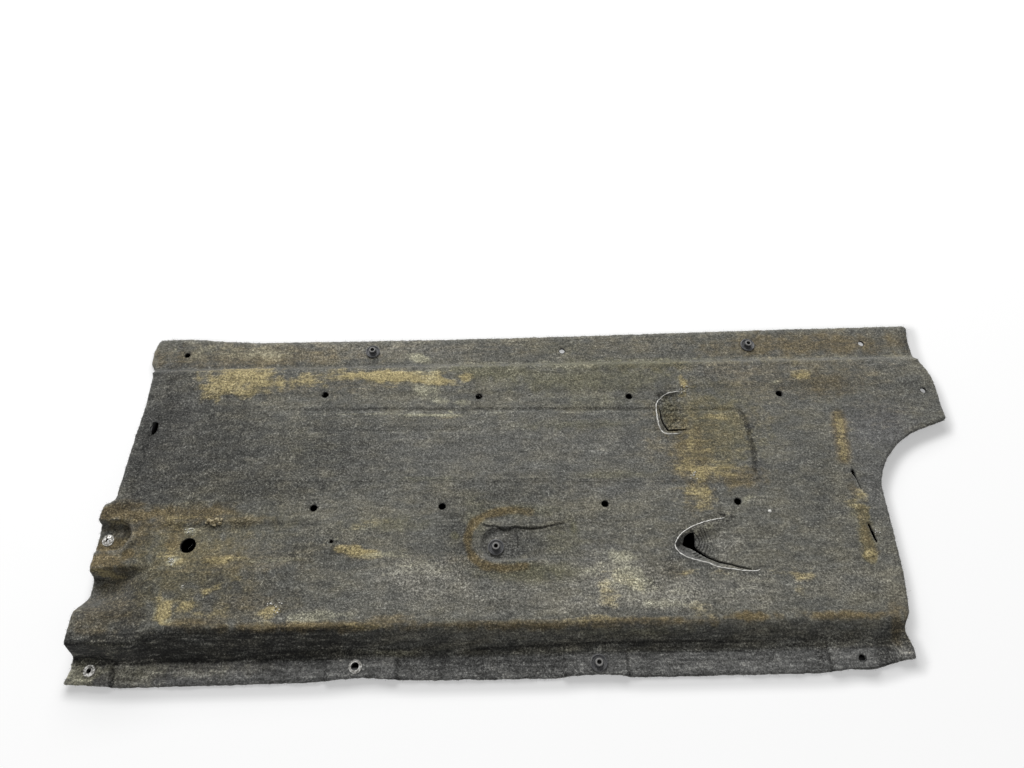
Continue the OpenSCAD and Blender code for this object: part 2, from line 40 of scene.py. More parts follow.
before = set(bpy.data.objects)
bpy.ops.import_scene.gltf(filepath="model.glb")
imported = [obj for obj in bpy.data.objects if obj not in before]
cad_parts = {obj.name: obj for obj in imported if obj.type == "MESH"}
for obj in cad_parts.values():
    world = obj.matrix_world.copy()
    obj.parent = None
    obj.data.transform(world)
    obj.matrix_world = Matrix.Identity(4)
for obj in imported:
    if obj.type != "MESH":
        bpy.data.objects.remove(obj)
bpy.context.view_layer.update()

# Sizes of the CAD source in millimetres, repeated because this file can't read it
FELT_T = 4.0
PANEL_L = 1227.0
PANEL_W = 528.0
PAD_H = 4.0
SQUEEZE = 0.4
LEFT_X = -PANEL_L / 2
EAR_X = PANEL_L / 2
TUNNEL_RISE = (36.0, 18.0)
SILL_RISE = 10.0
BAND_RISE = 1.5
TUNNEL_Y = -PANEL_W / 2
SILL_Y = PANEL_W / 2
LUG_X = LEFT_X + 5
FIELD_X = LUG_X + 15
END_X = EAR_X - 142.5
BODY_L = END_X - LUG_X
SILL_LEFT_X = LUG_X + 9
SILL_RIGHT_X = EAR_X - 10
SILL_STEP_Y = SILL_Y - 55
SILL_FOOT_Y = SILL_STEP_Y - 16
BAND_Y = SILL_FOOT_Y - 36
WALL_FOOT_Y = TUNNEL_Y + 32
WALL_TOP_Y = WALL_FOOT_Y + 35
PADS = ((LEFT_X + 27, 58), (-237.0, 85), (63.5, 76), (396.5, 56))
SEAT_Y = TUNNEL_Y + 194
SEAT_Z = 18.0
BAR_Y = SEAT_Y - 17
BAR_DROP = 10.0
LUG_TOP_Y = SEAT_Y + 48
VALLEY_Y = (TUNNEL_Y + 122, TUNNEL_Y + 138)
VALLEY_Z = 4.5
RECESS_NUT = (-62.5, TUNNEL_Y + 168.5)
RECESS_END_X = RECESS_NUT[0] + 26
RECESS_RAMP_L = 80.0
RECESS_Z = 20.0
DUCT_TIP = (180.5, -96.0)
DUCT_L = 108.0
DUCT_DEPTH = 9.0
FLAP_X = 180.5
FLAP_Y = 108.0
FLAP_DEPTH = 6.0
SWAGE_LEAN = -0.0184
SWAGE_X = (-406.0, 312.0)
SWAGE_Y = (1.0, 116.0)
SWAGE_ROUND = 10.0
TROUGH_DEPTH = 2.5
FOLD_X = 453.5
FOLD_DEPTH = 1.2
CUTOUT_R = 133.0
CUTOUT_CENTRE = (EAR_X + 2.5, SILL_Y - 315)
SCREW_R = 4.5

DRAIN_R = 5.0
DRAINS = (
    (-320, 150), (-86, 143), (142, 138), (371.5, 138.5), (-316, -35), (-137, -36), (91, -36), (278, -36),
)
ROUND_HOLES = tuple((x, y, DRAIN_R) for x, y in DRAINS) + (
    (-480, -86, 10.5),
    (-286, -85, 2.5),
    (-548, SILL_Y - 32, SCREW_R),
    (45.5, SILL_Y - 36, SCREW_R),
    (524, SILL_Y - 32, SCREW_R),
    (EAR_X - 21, SILL_Y - 125, SCREW_R),
    (407, TUNNEL_Y + 16.5, SCREW_R),
)
# Radius of a nut's flange, of its hole in the felt and of its lip below
NUT = (11.0, 6.15, 8.15)
# Middle and these three radii of each fastener
SEATS = {
    "sill_nut_rear": (-254.5, SILL_Y - 32, *NUT),
    "sill_nut_front": (341.5, SILL_Y - 32, *NUT),
    "recess_nut": (*RECESS_NUT, *NUT),
    "tunnel_nut": (67.5, TUNNEL_Y + 17.5, *NUT),
    "tunnel_eyelet": (-244.5, TUNNEL_Y + 19.5, 8.5, 6.05, 7.65),
    "corner_washer": (LUG_X + 25, TUNNEL_Y + 21.5, 7.5, 4.15, 6.15),
    "lug_push_washer": (LUG_X + 14, TUNNEL_Y + 190, 8.0, 3.35, 0.0),
}
# Grime and, in metres, radius of the bore of the steel ones; the others are plastic
STEEL = {"tunnel_eyelet": (0.04, 0.0049), "corner_washer": (0.03, 0.0028), "lug_push_washer": (0.06, 0.0022)}
# Openings cut or torn through the felt: the duct's throat with its slit, and the four other slits
TORN = (
    (
        (193.5, -96), (195.5, -87), (198, -84), (204.5, -80), (210.5, -78.8), (211.2, -84), (212, -91),
        (210.6, -96.5), (212.5, -100.8), (219, -106.5), (227.3, -113.2), (239, -119.6), (252, -124.3),
        (265, -129), (279.8, -133), (281, -134), (279, -134.2), (264, -131.4), (251, -126.9), (238, -122.3),
        (225.8, -115.8), (216.5, -110), (208, -103.6), (203, -100.4), (199.5, -99.4),
    ),
    (
        (186.4, 117), (186.2, 101.5), (190, 90), (194.2, 79.8), (208, 79.2), (222.5, 80), (222.8, 82),
        (208, 82.6), (196.6, 82.8), (192, 92), (188.9, 102.4), (188.6, 117),
    ),
    (
        (-570.5, 87.5), (-564.5, 87), (-561.6, 95), (-562.4, 106), (-566, 109), (-571, 108.6), (-573, 98),
    ),
    (
        (449.6, 8), (451.6, 10.6), (454.4, 9.8), (455.4, 5.4), (456, -2), (458.6, -20.8), (457, -21),
        (454.2, -3), (451.6, 1.4), (449.6, 3.6),
    ),
    (
        (452.8, -72), (456.2, -71.8), (459.4, -86), (460.8, -98.8), (457.4, -99.2), (455, -88),
    ),
)
# Crests of the two inlets, where the cut felt shows its pale fibres
DUCT_LIP = (
    (257, -59.6), (238, -62.7), (220, -67.5), (205, -73.6), (193.2, -80.7), (185.1, -89.9), (180.6, -97.6),
    (183, -105.4), (190.2, -112.5), (199.1, -117), (212.1, -120.7), (223.7, -122.7), (228.8, -126.4),
    (236, -130.3), (252.1, -132.7), (269.1, -135.4), (286.4, -136.5), (294, -132.3),
)
FLAP_LIP = (
    (223, 145), (214.4, 144.4), (205.4, 143.3), (195.2, 139.9), (185.1, 130.3), (181, 120.2), (180.7, 107.2),
    (180.9, 96), (181.3, 87.3), (183.8, 79.5), (190.1, 72.2), (196.4, 72), (212.4, 72.8),
)
# Lines pressed, torn or stained into the felt, most also drawn dark as painted shade: round the recess, in
# the two folds, at the swage's end, on the lug, its bar and the wall, where the line is only painted shade,
# then two stains beside the end fold
RECESS_EDGE = (
    (-79, -65), (-72, -66.6), (-63.5, -66.2), (-56.7, -69.5), (-49.8, -71.6), (-42.9, -70.1), (-36, -68.4),
    (-25.7, -70), (-15.4, -71.2), (-6.8, -71.1), (1.8, -70.6), (12.2, -68.1), (20.9, -66.8), (31.4, -64.2),
)
RECESS_STEP = ((-34.4, -76.9), (-32.9, -85.8), (-32.9, -96.4))
RECESS_NOTCH = ((-39.6, -99.6), (-40.6, -108.3))
TIDE_MARK = (
    (-14.6, -46.8), (-28.5, -43.8), (-42.4, -43.6), (-56.3, -46.1), (-70.3, -48.6), (-82.4, -53),
    (-91, -58.4), (-97, -66.5), (-100.3, -77.3), (-101.1, -89.9), (-99.3, -100.5), (-95, -109.3),
    (-88.2, -116.4), (-80.7, -121.7), (-69, -124.5), (-54, -126.5), (-37.3, -126.8), (-23.9, -124.4),
)
LUG_FOLD = ((-566, 110), (-570, 60), (-574, -6))
END_FOLD = ((FOLD_X - 4, -122), (378, -127))
SWAGE_END = ((306.6, 108), (311.6, 94), (314.8, 71), (314.9, 52), (314.2, 27), (311.2, 11))
LUG_RIDGE = ((-550, -72), (-556, -82), (-564, -95))
BAR_CRACK = ((-607, -124), (-590, -127), (-575, -130), (-556, -132))
# Painted shade along the wall's top edge
WALL_TOP_SHADE = ((-90, -226), (-59, -225), (19, -223), (71, -222), (201, -222), (250, -224))
END_STAIN = ((453, 100), (447, 57), (445, 30))
END_FILM = ((452, -50), (449, -67), (447, -96), (444, -122))
# Paths as creases and as dark lines of painted shade: where the line is full, where it ends, and its depth or
# strength
CREASES = (
    (LUG_FOLD, 0, 7, 1.8),
    (END_FOLD, 0, 4.5, 1.3),
    (RECESS_EDGE, 0, 2.4, 1.3),
    (RECESS_STEP + RECESS_NOTCH, 0, 2, 0.5),
    (LUG_RIDGE, 1, 6, -1.6),
)
DARK_LINES = (
    (WALL_TOP_SHADE, 1, 3, 1),
    (BAR_CRACK, 0.6, 2.6, 0.8),
    (LUG_FOLD, 1, 7, 0.9),
    (SWAGE_END, 1.5, 6, 0.72),
    (RECESS_EDGE, 0.5, 2.6, 1.1),
    (RECESS_STEP, 0.4, 2.2, 1),
    (RECESS_NOTCH, 0.3, 1.6, 0.6),
)
# Dried clumps as x, y, radius and height, and places of grit as x, y, spread and count
CLUMPS = (
    (-452, -54, 4, 2.6), (-446, -52, 3.6, 2.4), (-457, -52, 3, 2), (-442, -56, 2.8, 1.8),
    (-449, -58, 2.6, 1.8), (-440, -51, 2.2, 1.4), (-460, -55, 2, 1.2),
)
WHITE_SPECK = (320, -52, 3.2, 1.2)
GRIT = (
    (-497, -108, 8, 12), (-480, -66, 8, 10), (-472, -145, 5, 4), (-350, -172, 12, 14),
    (225, 150, 7, 8), (222, 5, 9, 10), (462, -84, 3, 5),
)

# Seeds of the random draws; a ripple has its own
FIBRE_SEED = 51
FUZZ_SEED = 57
GRIT_SEED = 71
CLUMP_SHAPE_SEED = 73
GRIT_SHAPE_SEED = 79

# Spacing and blur of the outline, then how far its rim and a hole's rim round off, as a share of the felt's
# thickness, and bulge, in millimetres
OUTLINE_STEP = 2.4
OUTLINE_BLUR = 2.2
RIM_ROUNDING = (0.28, 0.12)
RIM_BULGE = (0.7, 0.1)
# Heights up the rim, and shares of the bulge there
RIM_ROWS = ((0.78, 0.6), (0.5, 1.0), (0.22, 0.7))
# The floor's far lines, how far its close ones reach past the felt and their step, then the painted drop
# shadow's shift, reach and share
FLOOR_LINES = np.array([2100, 3600, 9000])
FLOOR_MARGIN = 50
FLOOR_STEP = 5.0
SHADOW_SHIFT = 8
SHADOW_REACH = 17
SHADOW_SHARE = 0.27

# The stage in metres and degrees; the lens in millimetres
LENS = 27.18
EYE = (-0.0475, -0.421, 1.047)
EYE_TILT = 29.5
EYE_TURN = -1.2
LAMP_PLACE = (-1.1, 4.5, 2.9)
LAMP_SIZE = (4.4, 2.6)


def rise(low, high, value):
    """0 below low, 1 above high, and three times the square less twice the cube of the share between."""
    share = np.clip((value - low) / (high - low), 0, 1)
    return share * share * (3 - 2 * share)


def mix(first, second, share):
    return first + (second - first) * share


def band(low, high, soft, value):
    """1 from low to high, falling smoothly to 0 over soft outside."""
    return rise(low - soft, low, value) * (1 - rise(high, high + soft, value))


def bump(middle, half, value):
    return 1 - rise(0, half, np.abs(value - middle))


def highest(*arrays):
    return np.maximum.reduce(arrays)


def turns(count):
    """Even angles round a circle."""
    return np.arange(count) * 2 * math.pi / count


def ripple(x, y, longest, shortest, seed, count=28):
    """Soft random relief from -1 to 1: a sum of sine waves of seeded direction, length and phase."""
    dice = np.random.default_rng(seed)
    turn = dice.uniform(0, math.pi, count)
    length = np.exp(dice.uniform(math.log(shortest), math.log(longest), count))
    phase = dice.uniform(0, 2 * math.pi, count)
    total = np.zeros_like(x, float)
    for angle, wave, start in zip(turn, length, phase):
        total += np.sin((x * math.cos(angle) + y * math.sin(angle)) * 2 * math.pi / wave + start)
    return total / math.sqrt(count) / 1.6


def path_distance(x, y, path):
    """Distance from each point to the nearest of a path's straight lengths."""
    nearest = np.full(x.shape, 1e9)
    for (ax, ay), (bx, by) in zip(path[:-1], path[1:]):
        along = ((x - ax) * (bx - ax) + (y - ay) * (by - ay)) / ((bx - ax) ** 2 + (by - ay) ** 2)
        along = np.clip(along, 0, 1)
        nearest = np.minimum(nearest, np.hypot(x - ax - along * (bx - ax), y - ay - along * (by - ay)))
    return nearest


def line(x, y, path, near, far):
    """1 within near of a path, falling smoothly to 0 at far."""
    return 1 - rise(near, far, path_distance(x, y, path))


def inside(x, y, loop):
    """Whether each point is in a closed loop: the count of sides that a ray to the right crosses is odd."""
    odd = np.zeros(x.shape, bool)
    ends = np.roll(np.asarray(loop, float), -1, axis=0)
    for (ax, ay), (bx, by) in zip(loop, ends):
        if ay != by:
            crosses = (ay > y) != (by > y)
            odd ^= crosses & (x < (bx - ax) * (y - ay) / (by - ay) + ax)
    return odd


def flange_z(x):
    """Level of the tunnel flange: the felt's thickness, four pads and a kick-up at the straight end."""
    pads = [band(middle - length / 2, middle + length / 2, 6, x) for middle, length in PADS]
    return FELT_T + PAD_H * highest(*pads) + 5 * rise(END_X - 22, END_X - 6, x)


def shell_z(x, y):
    """The sill flange, the step to the raised band, the field that climbs to the tunnel, and its wall."""
    tunnel_rise = mix(*TUNNEL_RISE, (x - LUG_X) / BODY_L)
    climb = np.clip((BAND_Y - y) / (BAND_Y - WALL_TOP_Y), 0, 1)
    field = FELT_T + mix(SILL_RISE, tunnel_rise, climb) + BAND_RISE * band(BAND_Y, SILL_FOOT_Y, 10, y)
    foot = WALL_FOOT_Y - 5 * band(LUG_X + 70, LUG_X + 300, 40, x) + 4 * (flange_z(x) - FELT_T) / PAD_H
    top = WALL_TOP_Y - 17 * (1 - rise(LUG_X + 80, LUG_X + 115, x))
    return mix(mix(flange_z(x), field, rise(foot, top, y)), FELT_T, rise(SILL_FOOT_Y, SILL_STEP_Y, y))


def lug_z(x, y, z):
    """The bar that drops beside the seat, the valley that cuts through the edge, and the round-ended seat."""
    inward = x - LUG_X
    bar = z - BAR_DROP * (1 - rise(0, 60, inward)) * band(VALLEY_Y[1], BAR_Y, 6, y)
    across = rise(VALLEY_Y[0] - 38, VALLEY_Y[0], y) * (1 - rise(VALLEY_Y[1], VALLEY_Y[1] + 12, y))
    valley = mix(bar, VALLEY_Z, (1 - rise(8, 95, inward)) * across)
    off = np.hypot(np.maximum(0, inward - 28), y - SEAT_Y)
    return mix(valley, SEAT_Z, 1 - rise(17, 22, off))


def recess_z(x, y, z):
    """A round-ended flat floor under the middle nut, then a ramp back up to the field."""
    run = highest(np.zeros_like(x), RECESS_NUT[0] - x, x - RECESS_END_X - RECESS_RAMP_L)
    off = np.hypot(run, y - RECESS_NUT[1] - 3)
    floor = mix(RECESS_Z, z, np.clip((x - RECESS_END_X) / RECESS_RAMP_L, 0, 1))
    floor = floor + 0.8 * rise(RECESS_END_X + 2, RECESS_END_X + 5, x) * (1 - rise(40, 70, x - RECESS_END_X))
    inner = mix(13, 19, rise(-86, -60, x))
    return mix(z, floor, 1 - rise(0, 1, (off - inner) / (25 - inner)))


def duct_drop(x, y):
    """Drop inside a parabola that opens from its tip: full over the throat, none at the end of the ramp."""
    along = np.maximum(0, x - DUCT_TIP[0])
    low = 1 + 0.16 * band(20, 54, 20, along) * (y < DUCT_TIP[1])
    half = 42 * np.sqrt(along / DUCT_L) * low
    wall = 9 * (1 + rise(DUCT_TIP[1] - 6, DUCT_TIP[1] + 10, y))
    return DUCT_DEPTH * rise(0, 1, (half - np.abs(y - DUCT_TIP[1])) / wall) * (1 - rise(24, DUCT_L, along))


def flap_drop(x, y):
    """Drop behind a straight lip that eases out over the length of the small duct."""
    across = band(FLAP_Y - 27, FLAP_Y + 27, 10, y)
    return FLAP_DEPTH * rise(FLAP_X, FLAP_X + 10, x) * across * (1 - np.clip((x - FLAP_X - 10) / 44, 0, 1))


def swage_rise(x, y):
    """A loop, from the distance to its rounded rectangle: a ridge on its lower side, else a groove."""
    s = y - SWAGE_LEAN * x
    qx = np.abs(x - sum(SWAGE_X) / 2) - (SWAGE_X[1] - SWAGE_X[0]) / 2 + SWAGE_ROUND
    qy = np.abs(s - sum(SWAGE_Y) / 2) - (SWAGE_Y[1] - SWAGE_Y[0]) / 2 + SWAGE_ROUND
    off = np.hypot(np.maximum(qx, 0), np.maximum(qy, 0)) + np.minimum(np.maximum(qx, qy), 0) - SWAGE_ROUND
    loop = bump(0, 4, off) * mix(1, -1, rise(SWAGE_Y[0] + 6, SWAGE_Y[0] + 26, s))
    return loop - 0.7 * bump(81, 4, s) * band(-384, -104, 20, x)


def top_z(x, y):
    """Height of the felt's upper side as the CAD source forms it."""
    trough = TROUGH_DEPTH * band(-503, -313, 24, x) * band(-113, -61, 9, y)
    fold = FOLD_DEPTH * bump(FOLD_X, 4.5, x) * band(-119, 94, 16, y)
    z = recess_z(x, y, lug_z(x, y, shell_z(x, y)))
    return z + swage_rise(x, y) - duct_drop(x, y) - flap_drop(x, y) - trough - fold


def soft_z(x, y, waviness):
    """Softness that the felt has over its formed shape: long waves, wrinkles and the creases at the folds."""
    seats = [rise(r + 2, r + 16, np.hypot(x - sx, y - sy)) for sx, sy, r, _, _ in SEATS.values()]
    flange = 1 - rise(WALL_FOOT_Y - 8, WALL_FOOT_Y + 6, y)
    wall = band(WALL_FOOT_Y, WALL_TOP_Y - 8, 8, y)
    torn = band(FLAP_X + 12, 226, 6, x) * band(FLAP_Y - 24, FLAP_Y + 24, 6, y)
    waves = sum((
        0.9 * ripple(x, y, 260, 70, 3),
        0.35 * ripple(x, y, 45, 16, 5),
        0.12 * ripple(x, y, 11, 5, 9),
        flange * 0.7 * ripple(x, 0.4 * y, 75, 24, 11),
        wall * 0.3 * ripple(0.35 * x, y, 40, 14, 13),
        0.6 * tongue_wrinkles(x, y),
        torn * 0.9 * ripple(x, y, 15, 6, 19),
    ))
    crease = sum(depth * line(x, y, path, near, far) for path, near, far, depth in CREASES)
    return waves * np.minimum.reduce(seats) * waviness - crease


def tongue_wrinkles(x, y):
    """Rings round the duct's throat, from -1 to 1: a sine of the distance, which runs out on the tongue."""
    ring = np.hypot(x - 206, 0.85 * (y + 91)) + 0.9 * ripple(x, y, 40, 14, 17)
    tongue = rise(4, 10, path_distance(x, y, DUCT_LIP)) * band(208, 272, 6, x) * band(-122, -68, 8, y)
    fading = mix(1, 0.25, rise(12, 40, ring))
    return tongue * np.sin(ring * 2 * math.pi / 3.9) * fading * (1 - rise(36, 74, ring))


def seat_level(key):
    """Height of a fastener's foot: the formed height at its middle, less what it sinks into the felt."""
    x, y = np.array(SEATS[key][0:1]), np.array(SEATS[key][1:2])
    return float(top_z(x, y)[0]) - SQUEEZE


def skins(x, y, waviness):
    """Heights of the upper and the lower side; the felt keeps its true thickness on a slope."""
    upper = top_z(x, y) + soft_z(x, y, waviness)
    step = 0.5
    slope_x = (top_z(x + step, y) - top_z(x - step, y)) / (2 * step)
    slope_y = (top_z(x, y + step) - top_z(x, y - step)) / (2 * step)
    lower = np.maximum(0.0, upper - FELT_T * np.sqrt(1 + slope_x**2 + slope_y**2))
    for key, (sx, sy, flange, _, lip) in SEATS.items():
        off = np.hypot(x - sx, y - sy)
        level = seat_level(key)
        near = 1 - rise(flange + 0.6, flange + 3.5, off)
        upper = mix(upper, np.minimum(upper, level), near)
        below = level - (FELT_T - SQUEEZE)
        lower = np.where(off < lip + 0.1, np.maximum(lower, below + 1.4), lower)
    return upper, lower


def arc(centre, radius, start, stop, count):
    angle = np.radians(np.linspace(start, stop, count + 1))
    return np.stack([centre[0] + radius * np.cos(angle), centre[1] + radius * np.sin(angle)], 1)


def outline_points():
    """The trimmed outline of the CAD source, counterclockwise from the tunnel corner at the lug end."""
    x = np.linspace(LUG_X + 18, END_X - 55, 41)
    tucks = [bump(middle, length * 0.8, x) for middle, length in PADS[1:]]
    tunnel = TUNNEL_Y + 2 * bump(-250, 420, x) + 4 * highest(*tucks) + 5 * (1 - rise(LUG_X, LUG_X + 80, x))
    sill_x = np.linspace(SILL_RIGHT_X - 10, SILL_LEFT_X + 10, 25)
    sag = mix(2, 10.5, rise(SILL_LEFT_X + 50, SILL_LEFT_X + 150, sill_x))
    sill = SILL_Y - (1 - rise(-200, SILL_RIGHT_X + 36, sill_x)) * sag
    cut_to = 107
    low_y = CUTOUT_CENTRE[1] + CUTOUT_R * math.sin(math.radians(cut_to)) + 12
    cut_from = 180 - math.degrees(math.asin(38 / CUTOUT_R))
    end = [(END_X - 34, TUNNEL_Y + 6.5), (END_X - 14, TUNNEL_Y + 12), (END_X - 2, TUNNEL_Y + 14),
           (END_X + 6, TUNNEL_Y + 14), (END_X + 6.5, TUNNEL_Y + 24), (END_X + 3, WALL_FOOT_Y + 8),
           (END_X - 2, WALL_FOOT_Y + 18), (END_X, WALL_FOOT_Y + 28), (END_X + 6.5, WALL_TOP_Y + 3),
           (END_X + 9, WALL_TOP_Y + 24), (END_X + 13.5, WALL_TOP_Y + 56)]
    lug_end = [(SILL_LEFT_X - 2, SILL_Y - 24), (SILL_LEFT_X - 2, SILL_STEP_Y + 8), (FIELD_X, SILL_STEP_Y - 5),
               (FIELD_X + 4.5, SILL_FOOT_Y - 4), (FIELD_X + 4, BAND_Y), (FIELD_X - 0.5, LUG_TOP_Y + 6)]
    return np.concatenate([
        [(LEFT_X, TUNNEL_Y + 6.5), (LEFT_X + 3, TUNNEL_Y + 5.5)],
        np.stack([x, tunnel], 1),
        end,
        arc(CUTOUT_CENTRE, CUTOUT_R, cut_from, cut_to, 14),
        [(EAR_X - 2, low_y), (EAR_X, low_y + 4)],
        arc((EAR_X - 85, low_y + 56), 85, 0, 32, 6),
        [(SILL_RIGHT_X - 4, SILL_STEP_Y + 6), (SILL_RIGHT_X - 4, SILL_Y - 32)],
        arc((SILL_RIGHT_X - 4, SILL_Y - 4), 4, 0, 90, 3),
        np.stack([sill_x, sill], 1),
        arc((SILL_LEFT_X + 8, SILL_Y - 8), 6, 90, 180, 3),
        lug_end,
        arc((LUG_X + 7, LUG_TOP_Y - 7), 7, 90, 180, 4),
        [(LUG_X, WALL_FOOT_Y + 6), (LUG_X - 0.5, WALL_FOOT_Y - 10)],
    ])


def run_length(path):
    """Length along a path at each of its points."""
    return np.concatenate([[0], np.cumsum(np.hypot(*np.diff(path, axis=0).T))])


def even_loop(loop, step, smooth=0.0):
    """A closed loop at even steps of its length, blurred along it by smooth millimetres."""
    closed = np.vstack([loop, loop[:1]])
    length = run_length(closed)
    count = max(8, int(round(length[-1] / step)))
    at = np.arange(count) * length[-1] / count
    even = np.stack([np.interp(at, length, closed[:, k]) for k in (0, 1)], 1)
    if smooth:
        wave = np.fft.rfftfreq(count, length[-1] / count)
        blur = np.exp(-2 * (math.pi * smooth * wave) ** 2)[:, None]
        even = np.fft.irfft(np.fft.rfft(even, axis=0) * blur, count, 0)
    return even


def loop_normals(loop):
    """Outward normals of a counterclockwise loop, from the chord between each point's neighbours."""
    chord = np.roll(loop, -1, axis=0) - np.roll(loop, 1, axis=0)
    normal = np.stack([chord[:, 1], -chord[:, 0]], 1)
    return normal / np.linalg.norm(normal, axis=1)[:, None]


def frayed_outline(look):
    """The outline with a fine ragged edge: seeded noise pushed out and in along the normals."""
    loop = even_loop(outline_points(), OUTLINE_STEP, OUTLINE_BLUR)
    ragged = 0.6 * ripple(*loop.T, 14, 4, 23) + 0.5 * ripple(*loop.T, 70, 20, 29)
    return loop - loop_normals(loop) * look.fray * 1000 * (0.7 - ragged)[:, None]


def circle(x, y, radius, count):
    angle = turns(count)
    return np.stack([x + radius * np.cos(angle), y + radius * np.sin(angle)], 1)


def grid(x0, x1, y0, y1, step):
    """Points of a box in offset rows, so that their triangles are near even-sided."""
    ys = np.arange(y0, y1, step * 0.87)
    xs = np.arange(x0, x1, step)
    x, y = np.meshgrid(xs, ys)
    x = x + (np.arange(len(ys)) % 2)[:, None] * step / 2
    return np.stack([x.ravel(), y.ravel()], 1)


# Boxes of the felt that need closer points: x from, x to, y from, y to and the share of the wide spacing
FINE_PLACES = (
    (-620, 480, -264, -192, 0.62),
    (-600, 610, 186, 214, 0.62),
    (-412, 320, -4, 12, 0.5),
    (-412, 320, 106, 130, 0.5),
    (-390, -98, 78, 94, 0.5),
    (300, 322, 0, 122, 0.5),
    (442, 466, -130, 100, 0.5),
    (-620, -500, -140, -30, 0.5),
    (176, 300, -142, -54, 0.32),
    (206, 274, -124, -66, 0.2),
    (176, 236, 66, 148, 0.36),
    (-112, 36, -124, -58, 0.34),
    (-100, 256, -232, -216, 0.42),
)


def felt_points(step, fine):
    """Points for a skin: a wide grid, with closer grids in its place where the felt is formed."""
    points = grid(LEFT_X, EAR_X, TUNNEL_Y, SILL_Y, step)
    for x0, x1, y0, y1, share in FINE_PLACES if fine else ():
        x, y = points.T
        outside = (x < x0) | (x > x1) | (y < y0) | (y > y1)
        points = np.vstack([points[outside], grid(x0, x1, y0, y1, step * share)])
    return points


def skin_faces(points, loops, rings):
    """Delaunay triangles of the points between the loops: the outline, then the holes. Points within about a
    millimetre of a loop are left out, so that no sliver stands at an edge."""
    border = np.vstack(loops + rings)
    cell = 1.2
    origin = np.array([LEFT_X - 20, TUNNEL_Y - 20])
    taken = np.zeros((int(PANEL_L / cell) + 40, int(PANEL_W / cell) + 40), bool)
    at = ((border - origin) / cell).astype(int)
    for shift_x in (-1, 0, 1):
        for shift_y in (-1, 0, 1):
            taken[at[:, 0] + shift_x, at[:, 1] + shift_y] = True
    where = ((points - origin) / cell).astype(int)
    points = points[~taken[where[:, 0], where[:, 1]]]
    points = points[inside(points[:, 0], points[:, 1], loops[0])]
    everything = np.vstack([border, points])
    edges = []
    first = 0
    for loop in loops + rings:
        index = first + np.arange(len(loop))
        edges.append(np.stack([index, np.roll(index, -1)], 1))
        first += len(loop)
    edges = np.concatenate(edges).tolist()
    found, _, faces, _, _, _ = delaunay_2d_cdt(everything.tolist(), edges, [], 1, 1e-5)
    found = np.array([tuple(v) for v in found])
    faces = np.array(faces)
    middle = found[faces].mean(axis=1)
    keep = np.ones(len(faces), bool)
    for hole in loops[1:]:
        low, high = hole.min(0), hole.max(0)
        near = np.flatnonzero(((middle > low) & (middle < high)).all(axis=1) & keep)
        keep[near[inside(middle[near, 0], middle[near, 1], hole)]] = False
    return found, faces[keep]


def put_mesh(name, corners, faces, attributes=None):
    """A mesh object at the origin, from corners in millimetres and faces that have one count of sides."""
    sides = faces.shape[1]
    mesh = bpy.data.meshes.new(name)
    mesh.vertices.add(len(corners))
    mesh.vertices.foreach_set("co", (np.asarray(corners) * 0.001).astype(np.float32).ravel())
    mesh.loops.add(faces.size)
    mesh.loops.foreach_set("vertex_index", faces.astype(np.int32).ravel())
    mesh.polygons.add(len(faces))
    mesh.polygons.foreach_set("loop_start", np.arange(len(faces), dtype=np.int32) * sides)
    mesh.polygons.foreach_set("use_smooth", np.ones(len(faces), bool))
    mesh.update(calc_edges=True)
    mesh.validate()
    for key, colour in (attributes or {}).items():
        layer = mesh.attributes.new(key, "FLOAT_COLOR", "POINT")
        rgba = np.hstack([colour, np.ones((len(colour), 1))]).astype(np.float32)
        layer.data.foreach_set("color", rgba.ravel())
    piece = bpy.data.objects.new(name, mesh)
    bpy.context.scene.collection.objects.link(piece)
    return piece


def finish_piece(piece, material, slot, *replaced):
    piece.data.materials.append(material)
    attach(piece, "root")
    if replaced:
        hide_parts(*replaced)
